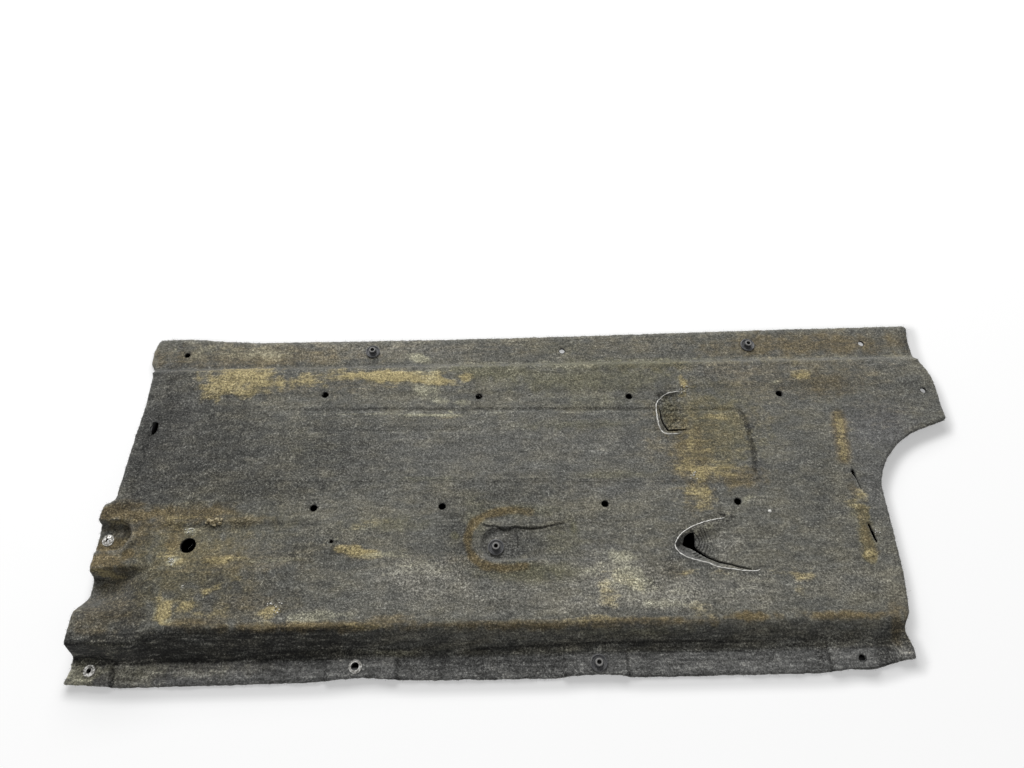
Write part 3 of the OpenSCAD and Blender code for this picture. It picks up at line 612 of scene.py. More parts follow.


# Dirt, wear and painted light and shade by kind: middle x and y, half length, half width, strength and, if
# any, turn in degrees
TAN_MUD_AND_LIGHT = (
    (-452, 186, 60, 22, 1), (-478, 172, 36, 26, 0.95, 8), (-425, 184, 42, 22, 0.9), (-440, 160, 30, 16, 0.9),
    (-503, 158, 8, 24, 0.6, -18), (-482, 150, 7, 18, 0.75, -8), (-392, 172, 16, 16, 0.8),
    (-350, 176, 38, 16, 0.85, -3), (-297, 190, 12, 20, 0.7), (-240, 180, 66, 12, 1.3, -2),
    (-165, 174, 50, 10, 1.25, -8), (-107, 177, 14, 11, 0.9), (-130, 167, 20, 6, 0.6, -12),
    (-492, -181, 10.5, 19, 1.5, 6), (-500, -158, 5, 16, 0.7, 8), (-462, -170, 14, 9, 0.95, 24),
    (-434, -149, 22, 6, 0.85, 30), (-404, -135, 14, 5, 0.6, 30), (-356, -180, 20, 10, 0.8, 10),
    (-350, -194, 36, 5, 0.5), (84, -168, 19, 28, 0.6, 6), (108, -142, 38, 14, 0.5, -16),
    (228, 158, 8, 15, 0.85, 4), (224, 140, 9, 9, 0.6), (226, 62, 9, 24, 0.72, -6), (222, 34, 16, 22, 0.6),
    (206, 20, 16, 14, 0.55), (226, 8, 12, 24, 0.85, 6), (224, -18, 30, 10, 0.75),
    (228, -38, 18, 18, 0.6, 10), (258, 100, 44, 7, 0.5, -2), (268, 14, 36, 14, 0.62, 8),
    (250, 20, 48, 12, 0.5, 4), (240, 60, 40, 50, 0.34), (230, -34, 40, 16, 0.45), (440, -40, 16, 10, 0.6),
    (410, 168, 18, 7, 0.85), (450, 60, 6, 40, 0.5, -6), (-250, -100, 36, 8, 0.95, -10),
    (-430, -108, 38, 6, 0.7, 4), (-492, -112, 15, 8, 0.7, 20), (205, -185, 28, 11, 0.5, -10),
    (64, -196, 44, 8, 0.55), (-135, 108, 28, 6, 0.4), (-240, -60, 44, 9, 0.35, 2),
    (346, -142, 28, 10, 0.5, -14), (330, 60, 30, 14, 0.22, 10), (340, 110, 50, 20, 0.2),
    (196, -136, 17, 8, 0.45), (237, -137, 14, 6, 0.4), (320, -140, 22, 8, 0.45), (340, -163, 12, 10, 0.4),
    (411, 174, 20, 6, 0.5), (80, -152, 16, 26, 0.5, 8), (-230, -200, 36, 5, 0.6, -4),
    # The patch at -588, -119 is also painted light on the slope below the lug's bar, which lies in shade
    (-300, 180, 60, 12, 0.6), (-588, -119, 24, 5, 0.9, -10), (455, -32, 12, 14, 0.5),
    (446, -113, 12, 10, 0.62), (-505, -54, 24, 10, 0.4), (-200, 184, 90, 6, 0.8, -1),
    (-445, 198, 66, 6, 1.1), (280, 186, 50, 8, 0.3), (-430, -180, 30, 9, 0.5), (-505, -100, 20, 12, 0.5, 10),
    (-478, -46, 50, 7, 0.45), (-585, -50, 26, 5, 0.5),
)
RUST_MUD = (
    (-588, -105, 32, 13, 1.2, -4), (-590, -36, 30, 12, 1.1), (-550, -42, 26, 16, 0.95, -20),
    (-556, -98, 15, 10, 1.05, 50), (-545, -72, 12, 30, 0.75, 10), (-520, -52, 34, 26, 0.7),
    (-470, -42, 56, 16, 0.85, 2), (-410, -52, 60, 12, 0.5), (-500, -80, 18, 30, 0.75),
    (-440, -105, 46, 10, 0.7, 4), (-560, -135, 30, 18, 0.55), (-575, -200, 30, 10, 0.5),
    (-400, -172, 100, 26, 0.45, 4), (-300, -199, 160, 8, 0.9), (-450, -192, 54, 9, 0.75, 2),
    (-205, -190, 36, 7, 0.6, 4), (-20, -202, 110, 6, 0.75), (268, -196, 36, 7, 1.15),
    (395, -196, 62, 7, 0.95), (120, -200, 120, 8, 0.65), (452, 62, 8, 44, 0.75, -6), (446, -20, 10, 22, 0.5),
    (446, -88, 13, 38, 0.7, -3), (447, -108, 13, 15, 0.75), (410, 168, 20, 8, 0.75), (226, 40, 44, 86, 0.72),
    (286, 2, 50, 24, 0.7), (218, -30, 24, 36, 0.45), (345, -144, 22, 8, 0.45, -20),
    (-255, -100, 36, 11, 0.6, -8), (500, 160, 54, 14, 0.3), (330, 190, 260, 14, 0.4),
    (520, 110, 60, 40, 0.25), (-350, 170, 200, 22, 0.4), (300, 96, 70, 30, 0.42), (340, 170, 110, 56, 0.38),
    (-520, -40, 60, 14, 0.8), (-582, -40, 34, 10, 1.2), (-588, -84, 26, 12, 0.9), (-60, -199, 150, 5, 0.7),
    (110, -198, 110, 6, 0.8), (200, 50, 40, 70, 0.35), (-200, -196, 60, 6, 0.7), (430, 168, 60, 12, 0.4),
    (-520, -90, 60, 50, 0.4), (0, 236, 620, 26, 0.26), (480, 172, 90, 34, 0.36), (-400, -110, 110, 26, 0.42),
    (-560, -150, 60, 50, 0.42), (-470, -110, 120, 72, 0.5), (270, 50, 60, 62, 0.42),
    (474, -208, 14, 34, 0.6), (-560, -80, 50, 60, 0.6), (-150, -110, 120, 14, 0.3),
    (-590, -80, 34, 12, 0.95), (-560, -170, 60, 40, 0.55), (306, 182, 70, 26, 0.5), (440, 152, 80, 30, 0.55),
    (-440, 228, 220, 26, 0.62), (440, 232, 200, 28, 0.7), (-440, -116, 80, 20, 0.6),
    (458, -208, 12, 30, 0.7), (240, 70, 90, 100, 0.5), (180, -136, 26, 10, 0.4), (-575, -28, 36, 10, 0.9),
)
MOSS = (
    (130, 196, 250, 16, 0.75), (-60, 186, 100, 22, 0.7), (80, 170, 180, 30, 0.6), (-30, -44, 66, 12, 0.6),
    (-20, -132, 96, 16, 0.75), (30, -96, 38, 44, 0.45), (-210, -62, 76, 14, 0.5), (60, 90, 120, 10, 0.5),
    (110, 8, 76, 8, 0.45), (446, -80, 16, 48, 0.7), (180, -182, 44, 18, 0.35), (40, 235, 70, 20, 0.4),
    (-330, 60, 84, 44, 0.3), (-160, 6, 64, 6, 0.45), (45, -72, 9, 11, 0.8), (-118, -80, 8, 7, 0.95),
    (190, 184, 16, 12, 0.7), (-400, -60, 96, 44, 0.4), (202, 108, 20, 34, 0.75), (-500, -40, 60, 30, 0.4),
    (90, 130, 90, 20, 0.4), (120, -211, 110, 8, 0.5), (-90, -60, 20, 50, 0.5), (262, 76, 84, 90, 0.72),
    (-490, -110, 110, 80, 0.66), (-100, -124, 60, 10, 0.5),
)
# Pale dust; the patches on the duct's upper inner slope at 228, -73 and on the flange's left end also paint
# light where those places lie in shade
PALE_DUST_AND_LIGHT = (
    (-179, 217, 20, 10, 1.35, -20), (-196, 224, 8, 6, 0.6), (-168, 152, 22, 14, 0.8),
    (-150, 138, 24, 8, 0.65, -10), (-112, 133, 16, 8, 0.7, 10), (-155, 111, 48, 2.6, 1.2, -1),
    (-270, 115, 60, 1.8, 0.6, -1), (-128, 116, 5, 2.5, 1, -30), (-480, -66, 8, 5, 1.1),
    (-496, -108, 10, 5, 1, 20), (-362, -109, 44, 3, 0.75, 2), (-215, -104, 40, 4, 0.65, 6),
    (110, -112, 32, 10, 0.7, -6), (116, -140, 40, 18, 0.75, -20), (-520, 236, 30, 16, 0.55, 20),
    (-568, 242, 5, 3, 0.9), (-170, -126, 54, 18, 0.45, -4), (290, -34, 13, 6, 0.6, 30), (320, -52, 3, 2, 1),
    (368, 158, 10, 5, 0.6), (-450, 234, 110, 16, 0.5), (-480, -242, 90, 12, 0.4), (100, -166, 50, 24, 0.3),
    (250, -150, 60, 18, 0.25), (-160, -120, 26, 14, 0.5), (160, -178, 22, 8, 0.7), (-300, -186, 60, 8, 0.75),
    (-170, 182, 22, 14, 0.5), (228, -73, 24, 6, 0.6, 16), (68, -134, 16, 12, 0.5), (-486, -189, 9, 4, 0.8),
    (-502, -178, 2.5, 12, 0.9), (-592, -246, 36, 24, 0.85), (-535, -250, 44, 14, 0.5),
    (104, -150, 42, 16, 0.5), (190, -160, 26, 14, 0.35), (20, 190, 120, 6, 0.3),
    (-172, 160, 24, 6, 0.6, -10), (476, -224, 8, 16, 0.6), (165, -178, 44, 8, 0.6), (-560, -222, 40, 8, 0.5),
    (-190, -228, 50, 4, 0.6), (-279, -82, 3, 2, 0.9), (-200, -107, 30, 3, 0.6, 4), (-496, -112, 7, 5, 0.8),
)
# Wear; the patches on the duct's upper inner slope and on the flange's left end are also painted light where
# those places lie in shade
WEAR_AND_LIGHT = (
    (-150, -150, 110, 34, 0.6, 2), (-60, -168, 124, 26, 0.5), (-190, -125, 64, 24, 0.45),
    (110, -150, 76, 46, 0.95), (60, -120, 64, 22, 0.4), (-60, -90, 30, 22, 0.35), (0, 95, 330, 18, 0.15),
    (-300, 236, 260, 20, 0.55), (200, 230, 300, 16, 0.15), (-250, -178, 90, 16, 0.35),
    (250, -160, 104, 30, 0.55), (-450, -243, 130, 12, 0.75), (100, 60, 260, 30, 0.2),
    (400, -150, 60, 30, 0.25), (450, -246, 60, 10, 0.3), (-575, -243, 44, 20, 1.1), (228, -73, 28, 8, 1, 16),
    (-585, -102, 30, 10, 0.5, -5), (190, -160, 40, 24, 0.95), (-140, -128, 60, 22, 0.85),
    (250, -94, 26, 18, 0.6), (400, -156, 70, 22, 0.5), (30, 190, 120, 14, 0.35), (286, 190, 56, 14, 0.6),
    (430, -60, 60, 40, 0.2), (560, 150, 40, 30, 0.3), (60, -176, 110, 12, 0.7), (-340, -186, 60, 10, 0.6),
    (100, -150, 60, 40, 1.15), (-540, -246, 60, 20, 1.2), (140, -246, 400, 16, 0.2), (306, 182, 66, 22, 0.6),
    (172, -174, 50, 20, 1), (-164, -134, 66, 28, 1), (462, -234, 20, 16, 0.6),
)
# Damp felt and painted shade: patches that darken the left end, hollows and slopes, partly for damp and
# partly as painted shade
DAMP_AND_SHADE = (
    (-560, 60, 60, 140, 0.75, -3), (-480, 60, 100, 110, 0.64), (-560, -150, 70, 46, 0.68, 10),
    (-500, 16, 110, 60, 0.68), (-565, 190, 44, 30, 0.66), (170, -130, 26, 16, 0.4, 30),
    (-430, -58, 74, 6, 0.55), (-535, -182, 36, 22, 0.75), (-470, 18, 130, 22, 0.5),
    (-90, -205, 180, 7, 0.35), (596, 240, 14, 30, 0.5), (441, -243, 14, 22, 0.75), (355, -243, 9, 18, 0.55),
    (-400, -150, 110, 44, 0.35), (60, -60, 60, 12, 0.3), (-330, 50, 140, 70, 0.42),
    (-560, -50, 60, 60, 0.12), (-110, -88, 26, 60, 0.4), (-60, -126, 70, 14, 0.4), (-50, -48, 60, 10, 0.35),
    (-30, -90, 60, 26, 0.35), (-40, -246, 120, 16, 0.35), (540, 130, 60, 50, 0.08), (420, -20, 50, 90, 0.15),
    (202, 108, 18, 30, 0.5), (-130, -244, 60, 14, 0.35), (330, 215, 260, 40, 0.1), (-420, 0, 120, 36, 0.66),
    (-310, -95, 60, 30, 0.4), (-540, 209, 50, 5, 0.4), (-550, 96, 50, 24, 0.72), (265, -58, 5, 3, 0.9),
    (-462, -201, 76, 6, 0.95), (-560, -82, 40, 16, 0.3), (-590, -84, 32, 8, 0.42), (-590, -36, 34, 9, 0.62),
    (-552, 118, 60, 34, 0.8), (-70, -20, 120, 20, 0.32), (-555, -178, 50, 26, 0.7, 10),
    (-405, -176, 60, 16, 0.3), (-440, -118, 70, 12, 0.26), (440, 152, 70, 22, 0.3),
    (-281, -86, 6, 3.5, 0.85), (254, -56, 6, 3, 1, -20), (150, -140, 20, 16, 0.35, 30),
    (-575, -28, 36, 10, 0.8),
)
# Felt without the warm film of soil
COOL = (
    (510, 76, 44, 34, 1), (480, 0, 26, 44, 0.6), (-560, -160, 60, 40, 0.15), (-560, 80, 60, 110, 0.4),
    (-60, 50, 300, 40, 0.3), (313, 60, 10, 50, 0.8), (200, -100, 20, 16, 0.5), (-60, -90, 30, 22, 0.5),
    (110, -10, 90, 16, 0.35), (-568, -70, 24, 16, 0.2), (60, -110, 60, 14, 0.4),
)


def patches(x, y, places, reach=1.0):
    """Strength of one kind of dirt, wear or painted light and shade: each place is an ellipse whose soft rim
    a random relief eats into.
    """
    ragged = 0.24 * ripple(x, y, 30, 9, 31) + 0.18 * ripple(x, y, 90, 30, 37)
    total = np.zeros_like(x)
    for px, py, half_x, half_y, strength, *turn in places:
        angle = math.radians(sum(turn))
        u = ((x - px) * math.cos(angle) + (y - py) * math.sin(angle)) / half_x
        v = ((y - py) * math.cos(angle) - (x - px) * math.sin(angle)) / half_y
        total = np.maximum(total, strength * (1 - rise(0.2, 1.5, np.hypot(u, v) / reach + ragged)))
    return total


def tide_mark(x, y):
    """Brown tide mark round the recess: a band along its line, fainter to the right."""
    off = path_distance(x, y, TIDE_MARK) + 1.5 * ripple(x, y, 50, 16, 41)
    return (1 - rise(2, 10.5, off)) * mix(0.9, 0.7, rise(-60, -20, x))


def wall_soil_and_shade(x, y):
    """Dark soil and painted shade on the steep wall: full at its foot, less at its top, and streaked along
    it.
    """
    down = y + 2 * ripple(x, y, 120, 40, 43)
    left = 1 - rise(-330, -150, x)
    right = rise(60, 260, x)
    high = mix(mix(0.1, 0.82, left), 0.1, right)
    low = mix(mix(0.60, 1.0, left), 0.62, right)
    wall = mix(low, high, rise(WALL_FOOT_Y + 2, WALL_TOP_Y - 3, down))
    wall = wall * band(WALL_FOOT_Y - 1, WALL_TOP_Y - 6, 5, down)
    streaks = 0.16 * ripple(0.3 * x, y, 14, 5, 47) * band(WALL_FOOT_Y, WALL_TOP_Y - 6, 6, down)
    return np.clip(wall + streaks, 0, 1)


def dirt_and_painted_light(x, y):
    """The three colour layers that the felt's material reads: tan, rust and moss; pale dust with painted
    highlights, wear with painted light, and damp with painted shade; then cool, torn and wall."""
    lean = y - SWAGE_LEAN * x
    swage = band(*SWAGE_X, 12, x)
    top_line = swage * mix(0.45, 1, rise(-350, -280, x)) * (1 - rise(FLAP_X - 4, FLAP_X + 2, x))
    top_line = np.maximum(top_line, 0.5 * swage * rise(232, 240, x))
    ragged = 2.4 * ripple(x, y, 22, 7, 53)
    stain = path_distance(x, y, END_STAIN)
    film = 1 - rise(5, 12, path_distance(x, y, END_FILM) + ragged)
    wall = wall_soil_and_shade(x, y)
    flange = 1 - rise(WALL_FOOT_Y - 6, WALL_FOOT_Y + 2, y)
    seat_ring = np.abs(np.hypot(x - RECESS_NUT[0], y - RECESS_NUT[1]) - 13.6)
    near_lip = np.minimum(path_distance(x, y, DUCT_LIP), path_distance(x, y, FLAP_LIP))
    torn = band(FLAP_X + 4, FLAP_X + 42, 5, x) * band(FLAP_Y - 24, FLAP_Y + 26, 6, y)

    tan = highest(
        patches(x, y, TAN_MUD_AND_LIGHT),
        0.26 * patches(x, y, TAN_MUD_AND_LIGHT, 1.8),
        0.54 * (1 - rise(3, 9, stain + ragged)),
    )
    tan = tan * (1 - 0.85 * rise(204, 208, y) * (x < 0))
    rust = highest(
        patches(x, y, RUST_MUD),
        1.1 * tide_mark(x, y),
        0.7 * (1 - rise(4, 20, stain)),
        0.62 * film,
    )
    # Pale dust, with painted highlights along the sill step and beside the swage's two lines
    pale = highest(
        patches(x, y, PALE_DUST_AND_LIGHT),
        0.45 * bump(SILL_STEP_Y, 2.4, y) * rise(-150, -90, x),
        0.30 * top_line * bump(SWAGE_Y[1] - 4, 3, lean),
        0.16 * swage * bump(SWAGE_Y[0] - 3, 2, lean),
    )
    # Damp and painted shade: dark soil and painted shade on the wall, painted shade on the sill step's slope,
    # beside the swage's lines, along the inner groove, in a pressed ring round the recess nut, inside the
    # inlets' lips, in the tongue's wrinkles, along the creases and round the holes' rims, and painted shadows
    # at the pads' ends
    damp_and_shade = highest(
        patches(x, y, DAMP_AND_SHADE),
        wall,
        mix(0.42, 0.16, rise(-260, -120, x)) * band(SILL_FOOT_Y + 3, SILL_STEP_Y, 4, y),
        0.62 * top_line * bump(SWAGE_Y[1] + 4, 2.6, lean),
        0.75 * swage * bump(SWAGE_Y[0] + 2, 1.7, lean),
        0.35 * bump(89, 3, lean) * band(-360, -110, 30, x),
        0.55 * (1 - rise(0.4, 2, seat_ring)),
        0.25 * band(3, 6, 3, near_lip),
        0.95 * rise(0.1, 0.9, -tongue_wrinkles(x, y)),
        *(strength * line(x, y, path, near, far) for path, near, far, strength in DARK_LINES),
        *(1 - rise(r + 0.2, r + 1.1, np.hypot(x - hx, y - hy)) for hx, hy, r in ROUND_HOLES),
        *(0.62 * flange * bump(middle + end * (length / 2 + 3), 5, x + 0.06 * (y + 240))
          for middle, length in PADS for end in (-1, 1)),
    )
    cool = np.maximum(patches(x, y, COOL, 1.3), 0.9 * flange)
    return {
        "soil": np.stack([tan, rust, np.maximum(patches(x, y, MOSS), 0.9 * film)], 1),
        "tone": np.stack([pale, patches(x, y, WEAR_AND_LIGHT), np.clip(damp_and_shade, 0, 1)], 1),
        "marks": np.stack([np.clip(cool, 0, 1), torn, np.maximum(wall, 0.36 * flange)], 1),
    }


class Socket:
    """A link in a material; an expression on it adds the Math nodes."""

    def __init__(self, shader, link):
        self.shader = shader
        self.link = link

    def __add__(self, other):
        return self.shader.math("ADD", self, other)

    def __radd__(self, other):
        return self.shader.math("ADD", other, self)

    def __sub__(self, other):
        return self.shader.math("SUBTRACT", self, other)

    def __rsub__(self, other):
        return self.shader.math("SUBTRACT", other, self)

    def __mul__(self, other):
        return self.shader.math("MULTIPLY", self, other)

    def __rmul__(self, other):
        return self.shader.math("MULTIPLY", other, self)

    def clamp(self):
        return self.shader.math("ADD", self, 0.0, use_clamp=True)


class Shader:
    """The nodes of one material or world, placed in columns as they are added."""

    def __init__(self, owner):
        self.owner = owner
        owner.use_nodes = True
        self.tree = owner.node_tree
        self.tree.nodes.clear()
        self.count = 0

    def place(self):
        return self.add("ShaderNodeTexCoord", out="Object")

    def add(self, kind, settings=None, sockets=None, out=0):
        """Adds a node, sets its settings, then its sockets' values or links, and returns an output."""
        node = self.tree.nodes.new(kind)
        node.location = (220 * (self.count // 6), -240 * (self.count % 6))
        self.count += 1
        for key, value in (settings or {}).items():
            if key == "stops":
                self.set_stops(node.color_ramp, value)
            else:
                setattr(node, key, value)
        for key, value in (sockets or {}).items():
            if isinstance(value, Socket):
                self.tree.links.new(value.link, node.inputs[key])
            else:
                node.inputs[key].default_value = value
        return None if out is None else Socket(self, node.outputs[out])

    @staticmethod
    def set_stops(ramp, stops):
        while len(ramp.elements) < len(stops):
            ramp.elements.new(0.5)
        for element, (at, colour) in zip(ramp.elements, stops):
            element.position = at
            element.color = (*colour, 1) if isinstance(colour, tuple) else (colour, colour, colour, 1)

    def math(self, operation, first, second, use_clamp=False):
        settings = {"operation": operation, "use_clamp": use_clamp}
        return self.add("ShaderNodeMath", settings, {0: first, 1: second})

    def blend(self, share, first, second, how="MIX"):
        """Mixes two colours."""
        first, second = [c if isinstance(c, Socket) else (*c, 1) for c in (first, second)]
        settings = {"data_type": "RGBA", "blend_type": how, "clamp_factor": True}
        return self.add("ShaderNodeMix", settings, {0: share, 6: first, 7: second}, out=2)

    def grey(self, value):
        return self.add("ShaderNodeCombineColor", None, {0: value, 1: value, 2: value})

    def noise(self, size, detail=3.0, rough=0.55, stretch=None, turn=0.0, warp=0.0, shift=0.0):
        """Noise with features of about size metres; stretch and turn lay it in streaks."""
        at = self.place()
        if stretch:
            settings = {"vector_type": "TEXTURE"}
            at = self.add("ShaderNodeMapping", settings, {
                "Vector": at,
                "Rotation": (0, 0, math.radians(turn)),
                "Scale": (stretch, 1, 1),
                "Location": (shift, shift, 0),
            })
        sockets = {"Vector": at, "Scale": 1 / size, "Detail": detail, "Roughness": rough, "Distortion": warp}
        return self.add("ShaderNodeTexNoise", {"noise_dimensions": "3D"}, sockets)

    def ramp(self, value, *stops):
        return self.add("ShaderNodeValToRGB", {"stops": stops}, {0: value})

    def step(self, low, high, value):
        """0 below low, 1 above high, smooth between."""
        settings = {"interpolation_type": "SMOOTHSTEP"}
        sockets = {"Value": value, "From Min": low, "From Max": high}
        return self.add("ShaderNodeMapRange", settings, sockets)

    def layer(self, name):
        """The three channels of one of the piece's colour attributes."""
        colour = self.add("ShaderNodeAttribute", {"attribute_name": name}, out="Color")
        parts = self.add("ShaderNodeSeparateColor", None, {0: colour}).link.node
        return [Socket(self, parts.outputs[k]) for k in range(3)]

    def bump(self, height, distance, strength):
        sockets = {"Height": height, "Distance": distance, "Strength": strength}
        return self.add("ShaderNodeBump", None, sockets)

    def surface(self, **values):
        """Ends the material in one Principled shader."""
        sockets = {key.replace("_", " "): value for key, value in values.items()}
        shader = self.add("ShaderNodeBsdfPrincipled", None, sockets)
        self.add("ShaderNodeOutputMaterial", None, {"Surface": shader}, None)
        return self.owner


def fibre_streaks(shader, size, stretch):
    """Crossing fibres: stretched noise laid at five turns, of which the brightest shows."""
    top = None
    for index, turn in enumerate((12, 48, 84, 126, 162)):
        streak = shader.noise(size, 1.5, 0.5, stretch, turn, warp=0.6, shift=0.37 * index)
        top = streak if top is None else shader.math("MAXIMUM", top, streak)
    return top


def felt_material(look):
    """Grey needled felt, with the soil, the tone and the marks of its three colour layers over it; the tone
    layer carries painted light and shade.
    """
    shader = Shader(bpy.data.materials.new("needled_felt"))
    tan, rust, moss = shader.layer("soil")
    pale, wear_and_light, damp_and_shade = shader.layer("tone")
    cool, torn, wall = shader.layer("marks")
    grain = shader.noise(size=0.0028, detail=2.5)
    fine = shader.noise(size=0.0014, detail=1, rough=0.5)
    mottle = shader.noise(size=0.011, rough=0.6, stretch=2.2, turn=4)
    broad = shader.noise(size=0.050, detail=4)
    lines = shader.noise(size=0.0042, rough=0.6, stretch=7)
    hue = shader.noise(size=0.016, detail=2, rough=0.6, stretch=3, turn=2, shift=3.1)
    streaks = fibre_streaks(shader, size=0.0024, stretch=3.2)
    power = (grain - 0.5) * 3.6 + (streaks - 0.62) * 3.2 + (fine - 0.5) * 1.8
    power = power * (1.0 + wear_and_light * 0.3 + damp_and_shade * 0.9 + torn * 0.4)
    power = power + (lines - 0.5) * (1.3 + wall * 7.0) + (mottle - 0.5) * (1.3 + wall * 1.6)
    tone = shader.math("POWER", 2.0, power + (broad - 0.5) * 0.7 - 0.04)
    warmth = shader.step(0.38, 0.66, broad * 0.4 + mottle * 0.2 + hue * 0.4 - cool * 0.12)
    base = shader.blend(warmth, look.felt_cool, look.felt_warm)
    base = shader.blend(cool * 0.85, base, look.felt_blue)
    ragged = (grain - 0.5) * 0.35 + (mottle - 0.5) * 1.2 + (broad - 0.5) * 0.6
    moss_share = shader.step(0.12, 0.95, moss + ragged * 0.4) * 0.8
    base = shader.blend(moss_share, base, look.moss)
    # Wear, and painted light on shaded slopes
    wear_and_light_share = shader.step(0.1, 1.1, wear_and_light + ragged * 0.4) * 0.75
    base = shader.blend(wear_and_light_share, base, look.worn_and_lit)
    rust_share = shader.step(0.1, 1.05, rust + ragged * 0.5 + (lines - 0.5) * 0.5) * 0.86
    base = shader.blend(rust_share, base, look.rust_mud)
    # Tan mud, and painted light below the lug's bar
    tan_share = shader.step(0.22, 1.02, tan + ragged * 0.7 + (lines - 0.5) * 0.7) * 0.86
    base = shader.blend(tan_share, base, look.tan_mud_and_light)
    # Pale dust and painted highlights
    pale_share = shader.step(0.14, 1.1, pale + ragged * 0.7) * 0.8
    base = shader.blend(pale_share, base, look.pale_dust_and_light)
    base = shader.blend(shader.step(1.2, 2.3, tone) * 0.22, base, look.raw_fibre)
    # Darkens the colour where the felt is damp and where shade is painted
    tone = tone * (1.0 - damp_and_shade * 0.8)
    colour = shader.blend(1.0, base, shader.grey(tone), "MULTIPLY")
    height = grain * 0.6 + streaks * 0.9 + fine * 0.25 + tan_share * 0.5
    normal = shader.bump(height, distance=0.0014, strength=0.9)
    return shader.surface(
        Base_Color=colour, Roughness=0.97, Normal=normal,
        Specular_IOR_Level=0.12, Sheen_Weight=0.12, Sheen_Roughness=0.6,
    )


def pale_fibre_material():
    """Pale raw fibres of the cut felt, patchy along their length."""
    shader = Shader(bpy.data.materials.new("pale_fibres"))
    patch = shader.noise(size=0.006, rough=0.6)
    colour = shader.ramp(patch, (0.3, (0.42, 0.41, 0.38)), (0.62, (0.85, 0.84, 0.80)))
    return shader.surface(Base_Color=colour, Roughness=0.9, Specular_IOR_Level=0.2)


def loose_fibre_material():
    """Loose grey and pale fibres, toned by their place."""
    shader = Shader(bpy.data.materials.new("loose_fibres"))
    patch = shader.noise(size=0.02, detail=2, rough=0.5)
    colour = shader.ramp(patch, (0.35, (0.13, 0.128, 0.12)), (0.62, (0.27, 0.265, 0.24)))
    return shader.surface(Base_Color=colour, Roughness=0.85, Specular_IOR_Level=0.2)


def mud_material():
    """Dried clumps: ochre to brown, with pale crumbs."""
    shader = Shader(bpy.data.materials.new("dried_mud"))
    patch = shader.noise(size=0.0025, detail=4, rough=0.6)
    stops = ((0.35, (0.12, 0.09, 0.045)), (0.5, (0.36, 0.30, 0.18)), (0.65, (0.55, 0.50, 0.36)))
    colour = shader.ramp(patch, *stops)
    normal = shader.bump(patch, distance=0.0006, strength=0.8)
    return shader.surface(Base_Color=colour, Roughness=0.95, Normal=normal)


def from_axis(shader, key):
    """Distance from a fastener's axis and height over its foot, both in metres."""
    middle = (*SEATS[key][:2], seat_level(key))
    place = shader.add("ShaderNodeVectorMath", {"operation": "SUBTRACT"}, {
        0: shader.place(),
        1: tuple(0.001 * value for value in middle),
    })
    parts = shader.add("ShaderNodeSeparateXYZ", None, {0: place}).link.node
    x, y, z = [Socket(shader, parts.outputs[k]) for k in range(3)]
    return shader.math("SQRT", x * x + y * y, 0.0), z


def plastic_material(key, look):
    """Grey moulded plastic: dust in the dish, a paler collar top, dark in the rings, and painted shade in the
    bore.
    """
    shader = Shader(bpy.data.materials.new(key))
    radius, height = from_axis(shader, key)
    dust = shader.noise(size=0.005, detail=4, rough=0.6)
    grain = shader.noise(size=0.0008, detail=2, rough=0.5)
    share = shader.step(0.44, 0.72, dust) * shader.step(0.0065, 0.008, radius) * 0.5
    share = share + shader.step(0.0068, 0.0078, height) * 0.75
    colour = shader.blend(share.clamp(), look.plastic, look.plastic_dust)
    ring = shader.step(0.0008, 0.0, shader.math("ABSOLUTE", radius - 0.0066, 0.0))
    # Painted shade: the bore is drawn near black
    bore = 1.0 - shader.step(0.0028, 0.0031, radius)
    dark = 1.0 - (ring * 0.8 + bore).clamp() * 0.9
    colour = shader.blend(1.0, colour, shader.grey(dark), "MULTIPLY")
    normal = shader.bump(grain + dust * 0.6, distance=0.00025, strength=0.5)
    return shader.surface(Base_Color=colour, Roughness=0.5 + share * 0.4, Normal=normal)


def steel_material(key, look, grime, bore):
    """Zinc-plated steel: fine scratches, dull grime that hides the metal in places, painted shade in the
    hole.
    """
    shader = Shader(bpy.data.materials.new(key))
    radius, _ = from_axis(shader, key)
    dull = shader.noise(size=0.003, detail=4, rough=0.62)
    scratch = shader.noise(size=0.0006, detail=2, rough=0.5, stretch=12, turn=30)
    share = shader.step(0.36 - grime, 0.72 - grime, dull)
    hole = 1.0 - shader.step(bore, bore + 0.0004, radius)
    share = (share + hole).clamp()
    colour = shader.blend(share, look.steel, look.grime)
    # Painted shade: the hole is drawn near black
    colour = shader.blend(hole * 0.9, colour, (0.01, 0.01, 0.01))
    rough = 0.34 + share * 0.5 + (scratch - 0.5) * 0.2
    normal = shader.bump(scratch * 0.6 + dull, distance=0.0002, strength=0.5)
    return shader.surface(Base_Color=colour, Metallic=1.0 - share, Roughness=rough, Normal=normal)


def hole_sides(radius):
    """Count of corners round a hole."""
    return 40 if radius > 6 else 28


